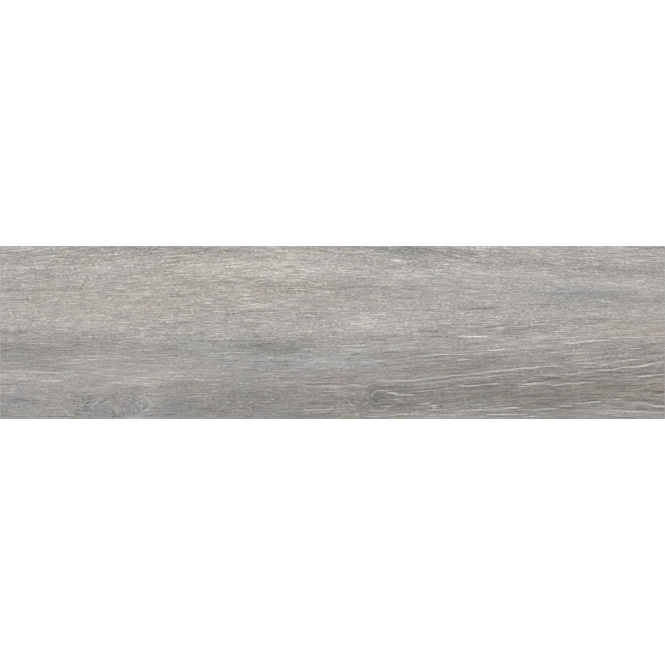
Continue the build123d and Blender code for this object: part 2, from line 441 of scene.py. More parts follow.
# Limed lines, where white paste stayed in the open grain, and dark veins between them.
Vein = namedtuple("Vein", "along_from across_from along_to across_to width tone")
veins = (
    (-300, 71, -277, 73.5, 0.8, -14), (-290, 66.2, -276, 67.2, 0.6, -20), (-300, 64.5, -290, 65.5, 0.8, -12),
    (-280, 59.5, -267, 60.5, 0.6, -20), (-290, 52, -276, 52.2, 0.7, -19), (-300, 43.5, -295, 43.5, 0.6, -18),
    (-289, 29, -269, 30, 0.8, -19), (-263, 32.2, -252, 32, 0.7, -20), (-294, 38.5, -280, 38.5, 1, -12),
    (-254, 39.5, -236, 37.8, 0.7, -17), (-236, 38.5, -217, 40.8, 0.8, -13),
    (-213, 39.8, -195, 40.2, 0.6, -15), (-227, 30, -216, 28.5, 1.2, -18), (-300, 27.2, -283, 27, 0.6, -15),
    (-241, 27, -230, 27, 0.6, -14), (-218, 64.2, -202, 64.2, 0.6, -17), (-236, 67.7, -221, 68, 0.6, -16),
    (-210, 71.4, -194, 71.6, 0.6, -15), (-199, 59.6, -189, 59.6, 0.6, -14),
    (-189, 43.5, -171, 44.5, 1.5, -14), (-184, 25.5, -174, 25.8, 0.7, -13),
    (-212, 12.5, -195, 11.2, 0.9, -14), (-195, 12.5, -183, 14.5, 0.9, -14), (-260, 12, -247, 12, 0.8, -11),
    (-189, 21, -180, 20.8, 0.7, -13), (-169, 19.5, -159, 19, 0.7, -12), (-168, 16, -158, 16, 0.8, -10),
    (-263, 71, -244, 70.8, 1, -12), (-243, 63.5, -235, 64.2, 1, -12), (-290, 45.5, -274, 45.5, 0.8, -9),
    (-267, 47.5, -256, 49, 1, -10), (-181, 66, -176, 66, 0.6, -12), (-161, 67.7, -155, 67.7, 0.6, -12),
    (-294, 1, -276, 0.8, 0.7, -18), (-278, 57, -262, 56, 0.9, -10), (-261, 59.8, -248, 61.5, 0.7, -13),
    (-253, 66.5, -245, 66.5, 1, 26), (-271, 66.5, -262, 67.2, 0.7, 20), (-228, 66.2, -220, 66, 1, 20),
    (-201, 70.3, -192, 70.3, 0.8, 24), (-281, 64, -270, 64.2, 0.7, 16), (-287, 53.5, -276, 53.7, 0.7, 22),
    (-286, 48.8, -279, 48.8, 0.6, 18), (-230, 53.5, -222, 53.7, 0.8, 20), (-225, 58.5, -204, 59.5, 0.7, 14),
    (-263, 33.5, -255, 33.5, 0.6, 16), (-259, 29, -248, 29.2, 0.7, 15), (-236, 26.2, -224, 26.5, 0.6, 20),
    (-230, 32, -220, 32.2, 1, 14), (-185, 23.2, -171, 23.5, 0.9, 24), (-164, 48.8, -157, 48.8, 0.6, 18),
    (-166, 73.2, -150, 73.2, 0.6, 16), (-160, 64.5, -150, 65.2, 0.7, 14), (-290, 14.5, -278, 14.5, 0.6, 16),
    (-272, 0.8, -259, 1, 0.6, 28), (-250, 2.7, -238, 2.7, 0.6, 20), (-233, 2.7, -223, 2.7, 0.6, 15),
    (-201, 46, -192, 46, 0.7, 14), (-187, 47, -174, 47, 0.7, 14), (-190, 39.7, -182, 39.7, 0.6, 16),
    (-234, 43.5, -228, 43, 2, 12), (-298, 34.5, -290, 34.8, 1, 14), (-294, 32.5, -282, 32.5, 0.8, 12),
    (-280, 36, -268, 36, 0.7, 12), (-300, 60.5, -292, 60.5, 0.7, 14), (-300, 53.5, -293, 54, 0.7, 14),
    (-220, 35.5, -212, 35.3, 0.7, 14), (-219, 51.5, -212, 51.8, 0.8, 13), (-163, 18, -155, 18, 0.7, 14),
    (-157, 22.5, -150, 22.5, 0.7, 13), (-132, 70.5, -121, 72.5, 0.8, -10), (-104, 74, -94, 74, 0.6, -16),
    (-140, 65, -117, 67.5, 0.7, -13), (-150, 62.5, -144, 62.5, 0.6, -16), (-150, 48.8, -134, 48.8, 0.6, -15),
    (-127, 50.5, -118, 50.5, 0.6, -16), (-150, 42.8, -139, 43, 0.8, -15), (-102, 45, -76, 45.5, 1.4, -13),
    (-70, 45.5, -61, 47, 1.3, -26), (-72, 41.8, -65, 41.8, 0.8, -20), (-52, 41.5, -37, 42.2, 0.9, -20),
    (-39, 40, -22, 40, 0.7, -20), (-35, 38, -25, 37.8, 0.7, -14), (-65, 48, -50, 48.5, 0.8, -12),
    (-107, 18, -98, 16.2, 0.8, -18), (-98, 16, -84, 17.5, 1.1, -22), (-84, 18, -70, 19.5, 1.2, -16),
    (-70, 19, -50, 19.3, 0.9, -12), (-150, 32.5, -135, 32.2, 1.2, -13), (-114, 33.2, -103, 33, 0.7, -13),
    (-150, 19, -128, 19, 0.7, -13), (-120, 21, -102, 20.5, 0.8, -12), (-94, 27, -82, 27, 0.8, -11),
    (-28, 17.2, -14, 17.2, 0.6, -16), (-20, 20, -5, 20, 0.6, -16), (-32, 13.5, -14, 13, 1.2, -14),
    (-12, 13, 0, 13, 0.9, -10), (-142, 8.5, -128, 8.8, 1, -13), (-116, 8.2, -106, 8.2, 0.7, -14),
    (-50, 64.2, -41, 64, 0.6, -16), (-60, 67.5, -50, 67.7, 0.7, -13), (-44, 59, -35, 59.5, 1.5, -11),
    (-56, 56.8, -44, 57, 0.8, -11), (-32, 69.5, -21, 68, 0.8, -10), (-18, 66, -5, 65.5, 0.8, -11),
    (-126, 46, -117, 46, 0.7, -11), (-123, 42.5, -114, 42.5, 0.7, -11), (-86, 57, -65, 57.5, 1, -9),
    (-5, 4.5, 2, 5.5, 0.7, -12), (-46, 50.5, -39, 50.8, 0.6, -12), (-150, 64.5, -129, 67, 0.8, 26),
    (-125, 67, -110, 69.5, 0.7, 12), (-90, 59.5, -84, 59.5, 0.9, 28), (-117, 56.8, -106, 57.2, 0.9, 12),
    (-80, 51, -59, 51.5, 0.9, 16), (-52, 74, -42, 73.5, 1.3, 16), (-51, 65, -40, 65.2, 0.6, 16),
    (-50, 69.2, -33, 69.5, 0.7, 14), (-68, 63.5, -61, 63.2, 1, 14), (-55, 61.5, -46, 61, 0.8, 14),
    (-37, 38.7, -26, 38.7, 0.6, 34), (-86, 34.3, -76, 34.3, 1.4, 12), (-104, 24.3, -93, 24.3, 0.7, 18),
    (-85, 24.3, -77, 24.3, 0.7, 18), (-86, 21, -78, 21, 1, 15), (-77, 22, -60, 23.2, 1, 20),
    (-73, 25.5, -63, 25, 1.5, 12), (-109, 18.5, -102, 19, 0.7, 15), (-140, 23.5, -128, 23.2, 0.8, 10),
    (-137, 16, -130, 16, 0.8, 12), (-115, 27, -107, 26.8, 1.2, 11), (-42, 30, -35, 29.8, 0.7, 15),
    (-29, 22.5, -10, 22, 0.7, 12), (-36, 20, -28, 20, 0.7, 14), (-57, 6.2, -47, 6.4, 0.6, 17),
    (-62, 1, -50, 1, 0.7, 17), (-32, 1, -17, 1.5, 1, 16), (-23, 6, -12, 6.2, 1, 13),
    (-12, 36, -2, 36.2, 0.7, 14), (-125, 37.7, -118, 37.7, 0.6, 13), (-56, 33, -49, 32.5, 1.5, 11),
    (-145, 51.8, -129, 51.8, 1, 12), (-53, 53.5, -44, 53.7, 0.8, 12), (-40, 52.2, -30, 52.5, 0.7, 12),
    (-102, 69.5, -94, 69.5, 0.7, 13), (-44, 49.5, -33, 49.7, 0.6, 14), (0, 64.5, 10, 65, 0.7, -12),
    (17, 57.5, 30, 57.2, 0.7, -16), (29, 56.8, 40, 57, 0.7, -20), (50, 58.8, 61, 59, 0.7, -18),
    (53, 60, 68, 61.5, 0.9, -11), (21, 48.5, 31, 48.5, 0.7, -20), (31, 48, 43, 48, 0.6, -17),
    (81, 59.5, 91, 59, 0.9, -20), (91, 58, 102, 58, 1.2, -22), (83, 55.5, 95, 54.5, 0.7, -12),
    (96, 54.5, 120, 52.2, 0.7, -18), (120, 52.2, 134, 51.2, 0.7, -20), (106, 68, 117, 66, 1, -14),
    (117, 65, 129, 65, 0.7, -15), (128, 63.2, 143, 62.2, 0.7, -16), (108, 71.5, 115, 71.2, 0.6, -12),
    (128, 70.5, 137, 70.5, 0.6, -12), (83, 67, 98, 66.8, 0.6, -15), (46, 44.5, 54, 44.5, 0.6, -16),
    (109, 45.2, 118, 45.2, 0.7, -17), (23, 42, 37, 41.5, 1.4, -13), (60, 39.5, 76, 38.8, 1.2, -14),
    (88, 37, 120, 36.8, 0.7, -12), (121, 35, 140, 34.5, 0.7, -12), (122, 39.5, 150, 39.8, 0.7, -11),
    (58, 31, 70, 30.5, 0.8, -14), (77, 19.7, 88, 19.7, 0.9, -24), (88, 20.8, 99, 21.2, 1, -28),
    (100, 20.2, 112, 21.2, 0.9, -20), (120, 20.8, 140, 21.5, 1.3, -30), (140, 22.5, 150, 23, 0.8, -20),
    (38, 12.5, 47, 12.5, 0.6, -16), (49, 18, 55, 18, 0.7, -14), (96, 6, 120, 7.5, 0.9, -17),
    (120, 7.5, 140, 8.5, 0.8, -10), (78, 0.8, 100, 1.5, 0.8, -20), (123, 3.5, 132, 3.5, 1.2, -15),
    (55, 4.5, 69, 4.8, 0.7, -12), (18, 17.2, 30, 17.5, 0.7, -13), (0, 6.5, 13, 6.5, 0.7, -13),
    (9, 51.5, 16, 51.5, 0.6, -14), (45, 76.5, 55, 76.5, 0.7, -12), (45, 67.7, 59, 67.7, 0.6, -14),
    (28, 64, 42, 64.2, 0.6, -14), (87, 51.5, 96, 51.2, 0.7, -13), (80, 49, 96, 48.5, 0.8, -11),
    (65, 50.5, 75, 50.5, 0.7, -13), (73, 72, 82, 72.2, 0.7, -13), (68, 66, 76, 66, 1, -14),
    (7, 28, 15, 28, 0.7, -13), (54, 23.5, 82, 23.5, 0.6, -13), (113, 27, 128, 27.5, 0.7, -12),
    (18, 72.2, 31, 73, 1.2, 20), (35, 71.2, 49, 71.2, 0.9, 26), (52, 65, 67, 64.5, 1.1, 26),
    (59, 63.5, 71, 63, 0.7, 18), (75, 66.2, 86, 65.8, 0.7, 17), (93, 63, 101, 62.8, 0.7, 17),
    (99, 61.5, 108, 61.7, 0.9, 20), (9, 58.7, 18, 58.7, 0.7, 22), (0, 48.8, 10, 48.8, 0.8, 20),
    (11, 52.2, 20, 52.3, 0.6, 17), (27, 50.5, 40, 50.5, 0.7, 18), (56, 55.8, 64, 55.8, 0.9, 15),
    (73, 51.2, 85, 50.5, 0.7, 16), (105, 55.5, 125, 55.8, 0.7, 14), (114, 59.5, 126, 59.7, 0.7, 17),
    (100, 49, 126, 48, 0.7, 13), (140, 42.8, 148, 43, 1, 18), (123, 37.5, 140, 37.2, 1, 12),
    (124, 66, 132, 64.5, 0.8, 14), (140, 66, 148, 65, 0.8, 14), (36, 43, 52, 43, 0.7, 15),
    (95, 31.8, 104, 31.7, 0.7, 14), (40, 18, 49, 17.8, 0.7, 18), (57, 18, 70, 18.3, 0.7, 17),
    (73, 22.5, 83, 22.5, 0.7, 18), (75, 17.5, 80, 17, 0.9, 14), (52, 23, 59, 23, 0.8, 13),
    (0, 3, 8, 2.5, 1.2, 16), (40, 1, 52, 0.8, 0.7, 18), (69, 6.5, 84, 6.8, 1, 14),
    (134, 2.5, 150, 4, 0.8, 28), (90, 13.5, 99, 13.5, 0.7, 14), (133, 12.2, 142, 12.2, 0.7, 14),
    (115, 16.5, 124, 16.7, 0.8, 12), (32, 16, 40, 16.3, 0.7, 14), (9, 15.5, 16, 15.2, 0.7, 14),
    (140, 16, 150, 16, 0.7, 12), (155, 71.3, 167, 71.5, 0.7, -18), (150, 63.2, 156, 63.2, 0.7, -20),
    (174, 74, 182, 74, 0.6, -15), (209, 74, 220, 74.2, 0.6, -13), (198, 75, 208, 75.2, 0.6, -12),
    (197, 65, 206, 65, 0.7, -17), (160, 66, 175, 66.8, 0.8, -11), (188, 56, 196, 56, 0.7, -17),
    (173, 55.2, 183, 55.2, 0.7, -11), (210, 57, 233, 57.5, 0.9, -12), (237, 58.8, 245, 58.8, 0.7, -15),
    (207, 51.5, 214, 51.5, 0.8, -15), (216, 51.8, 226, 51, 1.2, -12), (184, 52.5, 205, 52, 0.7, -12),
    (166, 44.3, 174, 44.3, 0.6, -16), (163, 39, 172, 38.8, 0.8, -16), (198, 42.5, 208, 42.8, 0.7, -12),
    (208, 32, 226, 33, 1, -11), (198, 34.5, 205, 34, 1, -12), (150, 23, 158, 22.8, 0.9, -24),
    (158, 22.8, 180, 22.5, 0.7, -14), (180, 22.7, 212, 22.8, 0.7, -12), (183, 25.5, 195, 25.3, 1, -12),
    (173, 29, 186, 28.8, 0.7, -12), (232, 27, 247, 27.3, 0.7, -13), (249, 31, 256, 30.8, 0.7, -14),
    (268, 29, 276, 28.8, 1, -13), (264, 53.5, 285, 53.2, 1, -14), (275, 75.3, 289, 75.5, 0.8, -20),
    (292, 58.5, 300, 58.7, 0.7, -13), (290, 50.7, 300, 50.8, 0.7, -13), (281, 68.8, 300, 68.5, 0.7, -12),
    (273, 34.5, 295, 34.5, 0.8, -11), (198, 10.8, 214, 11.2, 0.7, -20), (214, 12, 235, 11.8, 0.9, -18),
    (210, 7.2, 235, 7.5, 0.9, -22), (235, 8, 245, 9, 0.8, -12), (239, 9, 247, 9.2, 0.7, -17),
    (154, 2.5, 174, 3.2, 0.9, -22), (173, 3.7, 188, 4, 0.9, -22), (183, 0.8, 196, 1, 0.7, -16),
    (197, 1.8, 205, 2, 0.7, -16), (156, 9, 164, 9, 0.7, -15), (180, 8, 190, 9.8, 0.8, -10),
    (266, 13.2, 277, 13.5, 0.7, -14), (278, 11.5, 300, 12, 0.9, -15), (250, 8.5, 273, 9, 1.2, -13),
    (288, 9, 300, 9.2, 0.7, -14), (250, 2.5, 278, 2.8, 0.7, -13), (189, 18, 198, 18, 0.7, -12),
    (244, 22.5, 257, 22.8, 0.7, -12), (283, 23.2, 292, 23.2, 0.7, -12), (267, 17.2, 283, 17.5, 0.7, -11),
    (185, 58, 195, 57.3, 0.8, 22), (273, 43.3, 285, 43.5, 0.8, 34), (208, 56.5, 226, 54, 0.7, 12),
    (219, 45.3, 230, 45.3, 0.7, 18), (217, 49.2, 224, 49, 0.7, 14), (203, 45, 211, 45.3, 0.8, 12),
    (238, 47.7, 250, 47.5, 0.8, 13), (248, 44.5, 258, 44.3, 0.7, 13), (270, 41, 281, 40.8, 0.9, 14),
    (284, 39.7, 291, 39.7, 0.7, 14), (268, 66, 276, 66, 0.7, 15), (264, 63, 273, 62.7, 1, 12),
    (278, 73.5, 284, 73, 1.2, 14), (215, 15.5, 230, 14.5, 1, 20), (234, 18.3, 242, 18.3, 0.7, 14),
    (234, 16.2, 246, 16.2, 0.6, 13), (250, 18, 257, 18, 0.8, 15), (266, 15.5, 283, 15.8, 0.8, 18),
    (206, 20, 220, 20.8, 0.7, 13), (180, 23.5, 192, 23.5, 0.5, 13), (232, 6.2, 245, 6.5, 0.7, 20),
    (204, 4.5, 212, 4.5, 0.8, 16), (198, 1, 214, 1, 0.8, 26), (164, 5.2, 173, 5.8, 0.7, 15),
    (150, 4, 155, 4.2, 0.8, 16), (170, 7, 198, 8.5, 0.7, 11), (255, 4.2, 265, 4.5, 0.7, 15),
    (156, 10.8, 164, 10.5, 0.7, 14), (-300, -74.8, -276, -76.2, 0.8, -22),
    (-268, -76.2, -250, -75.7, 0.8, -24), (-250, -75.7, -234, -75.7, 0.7, -18),
    (-232, -74, -225, -74.5, 1.4, -14),
    (-167, -74.5, -158, -74.5, 0.9, -16),
    (-246, -29.8, -236, -29, 0.7, -20), (-236, -29, -220, -27.5, 0.7, -12), (-290, -33, -285, -32.8, 1, -14),
    (-267, -38.2, -262, -38.2, 1, -16), (-300, -47, -290, -46.5, 1.2, -12), (-266, -55, -258, -55.2, 1, -13),
    (-238, -57.5, -225, -57, 1, -13), (-288, -60, -277, -60.5, 0.9, -11),
    (-235, -19.8, -200, -19.8, 0.6, -13), (-190, -9, -184, -9, 0.7, -14), (-204, -10, -195, -10.2, 0.9, -11),
    (-175, -11.8, -167, -12, 0.8, -12), (-198, -26, -180, -26.2, 0.7, -12), (-173, -24.8, -161, -25, 1, -14),
    (-200, -7.2, -189, -7.2, 0.6, -13), (-199, -59, -193, -59, 0.9, -14),
    (-234, -11, -226, -11.2, 1, -11), (-230, -49, -224, -48.8, 1, -11),
    (-293, -35, -281, -35.5, 0.7, 22), (-281, -35.8, -256, -36, 0.6, 17), (-258, -36, -245, -36, 0.7, 25),
    (-300, -37.8, -292, -37.8, 0.7, 16), (-228, -21.2, -215, -21.2, 0.9, 24),
    (-213, -20.8, -192, -20.7, 0.7, 28), (-222, -24.5, -211, -24, 0.7, 20),
    (-211, -23.5, -194, -23.5, 0.6, 17), (-190, -22.5, -180, -22.5, 0.6, 18), (-240, -28, -226, -28, 0.7, 20),
    (-235, -25, -228, -24.5, 1.4, 13), (-265, -24.3, -257, -24.3, 0.7, 18),
    (-276, -26.2, -269, -26.2, 0.7, 14), (-248, -14.5, -236, -14.5, 0.7, 20),
    (-300, -14.5, -291, -14.5, 0.7, 16), (-251, -12.7, -236, -12.7, 0.6, 12),
    (-280, -7.2, -266, -7.2, 0.8, 18), (-275, -9.8, -258, -9.8, 0.6, 15), (-231, -7.2, -219, -7.2, 0.8, 15),
    (-222, -3.8, -209, -3.8, 0.7, 22), (-185, -3.8, -173, -3.8, 0.7, 22), (-173, -4.5, -150, -4.5, 0.7, 12),
    (-200, -12.7, -185, -12.7, 0.6, 18), (-178, -16, -161, -15.5, 1, 13), (-165, -20, -151, -19.8, 0.6, 16),
    (-178, -29.7, -153, -29.7, 0.6, 22), (-164, -32.2, -156, -32.3, 0.8, 15),
    (-199, -33.3, -192, -33.3, 0.8, 15), (-178, -35, -167, -35, 0.8, 15), (-158, -35.8, -150, -35.8, 0.7, 14),
    (-216, -37, -208, -37, 0.6, 14), (-238, -38, -228, -38, 0.7, 14), (-208, -38.8, -200, -38.8, 0.7, 13),
    (-288, -41.5, -272, -41.3, 0.7, 14), (-286, -43.2, -274, -43.2, 0.8, 12),
    (-258, -43.8, -242, -43.3, 0.8, 16), (-200, -45, -191, -45.5, 1.6, 14),
    (-175, -40.5, -165, -40.5, 0.7, 15), (-169, -46, -161, -46, 0.8, 13), (-291, -51, -284, -51, 1, 18),
    (-287, -48.8, -274, -48.8, 0.7, 15), (-300, -54.2, -285, -54, 0.8, 12),
    (-171, -52.5, -163, -52.5, 0.8, 16), (-168, -55.5, -157, -55.8, 1.2, 13),
    (-224, -55, -211, -55, 0.8, 12), (-260, -68, -242, -67.8, 1.4, 12),
    (-236, -68.5, -226, -68.5, 0.8, 13), (-246, -55.8, -235, -55.5, 0.7, 13),
    (-300, -63.5, -292, -64, 0.8, 12), (-138, -9.8, -127, -9.8, 0.7, -15), (-150, -15, -138, -15.2, 1, -15),
    (-145, -5.5, -140, -5.7, 0.9, -13), (-108, -7.2, -100, -7.2, 0.8, -14), (-96, -7.8, -86, -7.5, 0.9, -20),
    (-76, -4.5, -63, -4.5, 0.8, -14), (-70, -10.5, -62, -10.8, 1.3, -12), (-71, -12.7, -61, -12.5, 0.7, -13),
    (-59, -9.8, -53, -9.8, 0.9, -13), (-40, -9, -32, -9, 0.7, -18), (-40, -15.5, -32, -15.2, 1, -12),
    (-42, -18, -32, -18, 0.7, -16), (-26, -4.2, -20, -4.2, 1, -13), (-98, -26.2, -86, -25.8, 0.7, -14),
    (-52, -26.2, -39, -26.2, 0.7, -15), (-73, -26.2, -62, -26.2, 0.6, -12),
    (-81, -33.5, -70, -33.5, 0.9, -13), (-98, -34.2, -90, -34.3, 0.7, -14), (-97, -32.2, -89, -32, 0.6, -12),
    (-50, -32.5, -30, -32.5, 0.6, -12), (-77, -41.2, -60, -41.3, 0.7, -17),
    (-60, -41.3, -22, -41.3, 0.6, -14), (-111, -41.3, -95, -41.3, 0.6, -14), (-21, -46.5, 0, -46.2, 1, -13),
    (-10, -41.5, 0, -41, 1.2, -13), (-9, -24.3, 0, -24.5, 0.7, -13), (-141, -70.2, -129, -70.5, 0.7, -14),
    (-150, -73.5, -142, -73.8, 1, -12), (-17, -74, -7, -74, 0.9, -18), (-22, -64, -6, -64, 0.9, -14),
    (-24, -68.3, -5, -68.5, 0.7, -11), (-66, -64, -54, -64, 0.8, -11),
    (-123, -58.7, -108, -58.8, 0.7, -11), (-10, -51.5, 0, -52, 0.7, -12), (-104, -16.5, -97, -16.5, 0.8, -12),
    (-73, -20, -66, -20.5, 1.2, -11), (-61, -4.5, -52, -4.5, 0.7, 26), (-60, -6.5, -53, -6.5, 0.6, 13),
    (-135, -4.5, -125, -4.5, 0.7, 15), (-100, -4.5, -91, -4.5, 0.7, 13), (-113, -6.5, -105, -6.5, 0.6, 14),
    (-127, -9, -115, -9, 0.6, 16), (-100, -9.5, -86, -9.3, 0.7, 20), (-150, -22.5, -136, -22.5, 0.7, 30),
    (-140, -19.8, -132, -19.8, 0.7, 18), (-113, -19, -96, -18.8, 0.7, 24),
    (-110, -20.7, -101, -20.7, 0.7, 12), (-96, -18, -80, -18.2, 0.6, 12), (-115, -23.5, -98, -23.5, 0.7, 13),
    (-96, -22.8, -80, -22.6, 0.8, 18), (-127, -25, -116, -25.2, 0.7, 15), (-73, -25, -57, -25, 0.6, 17),
    (-60, -22.8, -35, -22.6, 0.7, 12), (-78, -16.3, -68, -16.3, 0.7, 14), (-90, -14.5, -82, -14.7, 0.7, 14),
    (-28, -15.3, -17, -15.3, 0.7, 20), (-35, -19, -27, -19, 0.7, 20), (-22, -20, -16, -20, 1.2, 12),
    (-14, -7.2, -3, -7.2, 0.7, 14), (-38, -28.2, -30, -28, 0.7, 15), (-21, -27, -13, -26.8, 1, 13),
    (-150, -29.8, -139, -29.8, 0.7, 16), (-150, -36, -138, -36, 0.7, 15), (-123, -33.5, -112, -33.3, 0.7, 16),
    (-83, -29.7, -73, -29.7, 0.6, 14), (-84, -31.7, -73, -31.5, 0.6, 14), (-68, -33.3, -58, -33.5, 1, 13),
    (-45, -35, -36, -35, 0.7, 17), (-44, -33, -34, -33.2, 0.7, 14), (-13, -32.5, -2, -32.3, 0.7, 14),
    (-62, -37.2, -53, -37.3, 1, 13), (-150, -42.3, -141, -42.3, 0.7, 16), (-125, -42.3, -110, -42.5, 0.7, 18),
    (-110, -42.5, -98, -42.5, 0.8, 24), (-65, -42.5, -52, -42.5, 0.6, 14),
    (-140, -39.5, -131, -39.7, 0.7, 13), (-86, -46, -74, -46, 0.7, 18), (-82, -50.5, -71, -50.5, 0.7, 18),
    (-42, -45, -30, -45.2, 0.7, 14), (-30, -44.7, -20, -44.7, 0.8, 15), (-50, -48, -40, -47.8, 0.8, 14),
    (-23, -48.7, 0, -48.7, 0.7, 32), (-7, -53, 0, -53, 0.9, 20), (-12, -56.5, -5, -57, 1.5, 13),
    (-22, -60.5, -13, -59.8, 0.8, 18), (-32, -62.2, -23, -62.2, 0.7, 13), (-13, -59.8, 0, -59.2, 0.6, 13),
    (-27, -69.5, -17, -69, 0.7, 16), (-12, -69.3, 0, -69.3, 0.7, 26), (-128, -57.7, -114, -57.7, 0.7, 20),
    (-113, -56.7, -97, -56.7, 0.7, 25), (-110, -53.2, -99, -53.2, 0.7, 14),
    (-127, -52.2, -116, -52.2, 0.7, 13), (-65, -56, -57, -56, 0.7, 8), (-70, -65, -60, -65, 0.7, 13),
    (-97, -63, -91, -63, 0.7, 13), (-90, -70.3, -82, -70.3, 0.7, 14), (-62, -74.8, -54, -74.8, 0.8, 13),
    (17, -9.7, 32, -9.7, 0.7, -20), (36, -7.2, 47, -6.8, 1, -22), (47, -7, 68, -7.2, 0.7, -14),
    (9, -6, 19, -6, 0.7, -15), (73, -6.5, 87, -6.2, 0.8, -20), (90, -3.8, 106, -4.2, 1, -24),
    (13, -13.5, 34, -13.5, 0.6, -12), (19, -19.5, 25, -19.5, 2, -11), (48, -18, 62, -17.8, 1.4, -14),
    (64, -19.5, 80, -19, 0.8, -15), (83, -18, 93, -17.8, 0.7, -12), (99, -15.5, 120, -15, 1.3, -17),
    (120, -14.5, 129, -14.2, 0.7, -14), (72, -23.2, 90, -22.2, 0.7, -16), (90, -21.8, 118, -20.8, 0.7, -17),
    (91, -25.3, 100, -25.2, 0.7, -15), (120, -23.8, 130, -22.2, 0.9, -15), (139, -23.2, 150, -22.2, 0.9, -18),
    (12, -34.2, 23, -34.2, 0.7, -15), (54, -35, 85, -34, 0.8, -12), (88, -33.7, 118, -32.8, 0.8, -14),
    (60, -32.5, 68, -32.3, 0.7, -13), (38, -49.5, 56, -49.3, 0.9, -22), (56, -49.2, 75, -48.8, 0.8, -16),
    (111, -50.3, 120, -49.7, 0.7, -16), (85, -48.7, 100, -46.5, 0.7, -12), (40, -64.8, 70, -65, 0.6, -15),
    (113, -61.2, 125, -61.2, 0.7, -16), (98, -62.5, 112, -62.2, 0.8, -11),
    (87, -71.5, 95, -72, 1, -20), (51, -70, 62, -69.7, 1.2, -12), (24, -73.8, 33, -73.8, 1, -13),
    (100, -41.7, 113, -40.7, 0.7, -13), (118, -39.8, 133, -38.6, 0.7, -12), (135, -58, 144, -57.8, 0.8, -12),
    (113, -3.8, 140, -3.5, 1.2, 30), (8, -11.8, 18, -12, 0.7, 20), (15, -12.2, 29, -11.8, 0.8, 28),
    (60, -13.5, 74, -13.5, 0.7, 20), (13, -16, 24, -16, 0.7, 14), (69, -8, 77, -7.8, 0.7, 15),
    (102, -11.8, 112, -11.8, 0.7, 15), (93, -9, 103, -8.8, 0.7, 14), (66, -22.5, 75, -22.5, 0.7, 22),
    (75, -21.8, 90, -20.8, 0.7, 26), (90, -20.3, 106, -19.7, 0.8, 30), (106, -19.7, 120, -19.7, 0.8, 30),
    (113, -24.8, 124, -24.2, 1.3, 20), (128, -20.5, 139, -17.5, 0.7, 13), (139, -16.3, 154, -15.2, 0.9, 36),
    (82, -28, 94, -27.8, 0.7, 16), (106, -31.5, 116, -31.6, 0.7, 15), (37, -25.5, 47, -25.8, 1, 13),
    (40, -44, 56, -43.8, 0.7, 28), (56, -43.5, 76, -43, 0.8, 30), (76, -42.8, 85, -41.5, 0.7, 28),
    (85, -41.5, 100, -40.3, 0.8, 30), (100, -40.3, 108, -39, 0.7, 26), (108, -38.8, 120, -38.5, 0.8, 32),
    (120, -38, 130, -37.2, 0.7, 28), (130, -37.2, 142, -35.5, 0.7, 28), (142, -35.2, 150, -34.8, 0.9, 38),
    (40, -48, 56, -47.7, 0.6, 16), (59, -47.8, 72, -47.5, 0.7, 22), (72, -47, 90, -45.5, 0.7, 20),
    (90, -45, 106, -43.5, 0.7, 18), (106, -43.2, 120, -41.5, 0.7, 24), (120, -41.2, 138, -40.5, 0.7, 18),
    (138, -40.3, 150, -38.5, 0.7, 26), (0, -48.7, 10, -48.7, 0.7, 28), (15, -47, 24, -47.2, 0.9, 20),
    (20, -49, 30, -48.3, 1.5, 15), (0, -53.3, 18, -52.5, 0.8, 16), (50, -53.8, 59, -55.5, 0.9, 40),
    (57, -56, 72, -56, 1, 46), (74, -53.5, 83, -53, 0.7, 20), (82, -52.5, 96, -52.2, 0.7, 22),
    (96, -51.8, 110, -49.5, 0.7, 24), (111, -47.2, 118, -47.5, 0.9, 24), (116, -48.3, 133, -47.8, 0.9, 32),
    (133, -47, 149, -46.2, 0.9, 36), (43, -52.3, 53, -52.3, 0.7, 22), (77, -64.8, 89, -63.8, 1, 26),
    (84, -63.5, 88, -63.5, 1, 20), (88, -65.6, 95, -65.6, 0.9, 38), (90, -67.5, 95, -67.8, 1.4, 20),
    (85.5, -69.8, 99.5, -70, 0.9, 34), (35, -70.3, 49, -70.3, 0.8, 30), (47, -66.5, 54, -66.3, 0.9, 24),
    (11, -65, 18, -65.2, 0.9, 18), (12, -62.2, 24, -62.2, 0.6, 13), (3, -71.3, 15, -71.5, 0.7, 18),
    (28, -75.7, 42, -75.7, 0.7, 22), (44, -75.5, 57, -74.8, 0.7, 26), (57, -74.2, 70, -74, 0.9, 32),
    (70, -74, 83, -74.2, 0.8, 26), (84, -74.8, 93, -74.8, 0.7, 20), (93, -74.2, 110, -74.2, 0.7, 20),
    (139, -74, 150, -74, 0.9, 32), (113, -70.5, 125, -69.8, 0.7, 20), (125, -70, 140, -69.7, 0.9, 34),
    (140, -69.2, 150, -68.8, 0.8, 24), (58, -62.5, 66, -62.8, 1, 15), (57, -60.5, 62, -60.5, 0.7, 15),
    (150, -7, 156, -7, 1.5, 13), (170, -6.5, 179, -6, 0.8, 22), (179, -5.5, 190, -4.3, 0.8, 20),
    (210, -9.8, 222, -9.5, 1.1, 34), (222, -8.5, 234, -7.5, 1, 34), (234, -7.5, 250, -6.8, 0.9, 34),
    (250, -6.2, 260, -5, 0.7, 20), (260, -4.5, 285, -4.3, 0.7, 22), (285, -4, 300, -3.5, 0.8, 16),
    (184, -11.8, 196, -11.5, 0.7, 18), (188, -13.5, 198, -13.5, 0.6, 15), (170, -14.2, 178, -14.2, 0.7, 15),
    (166, -17.2, 178, -17.2, 0.7, 14), (233, -13.5, 242, -13.5, 0.7, 20), (210, -16, 230, -15, 0.7, 14),
    (210, -19.2, 228, -18.7, 0.7, 18), (228, -18, 246, -17, 0.7, 20), (246, -16.2, 264, -15.5, 0.7, 26),
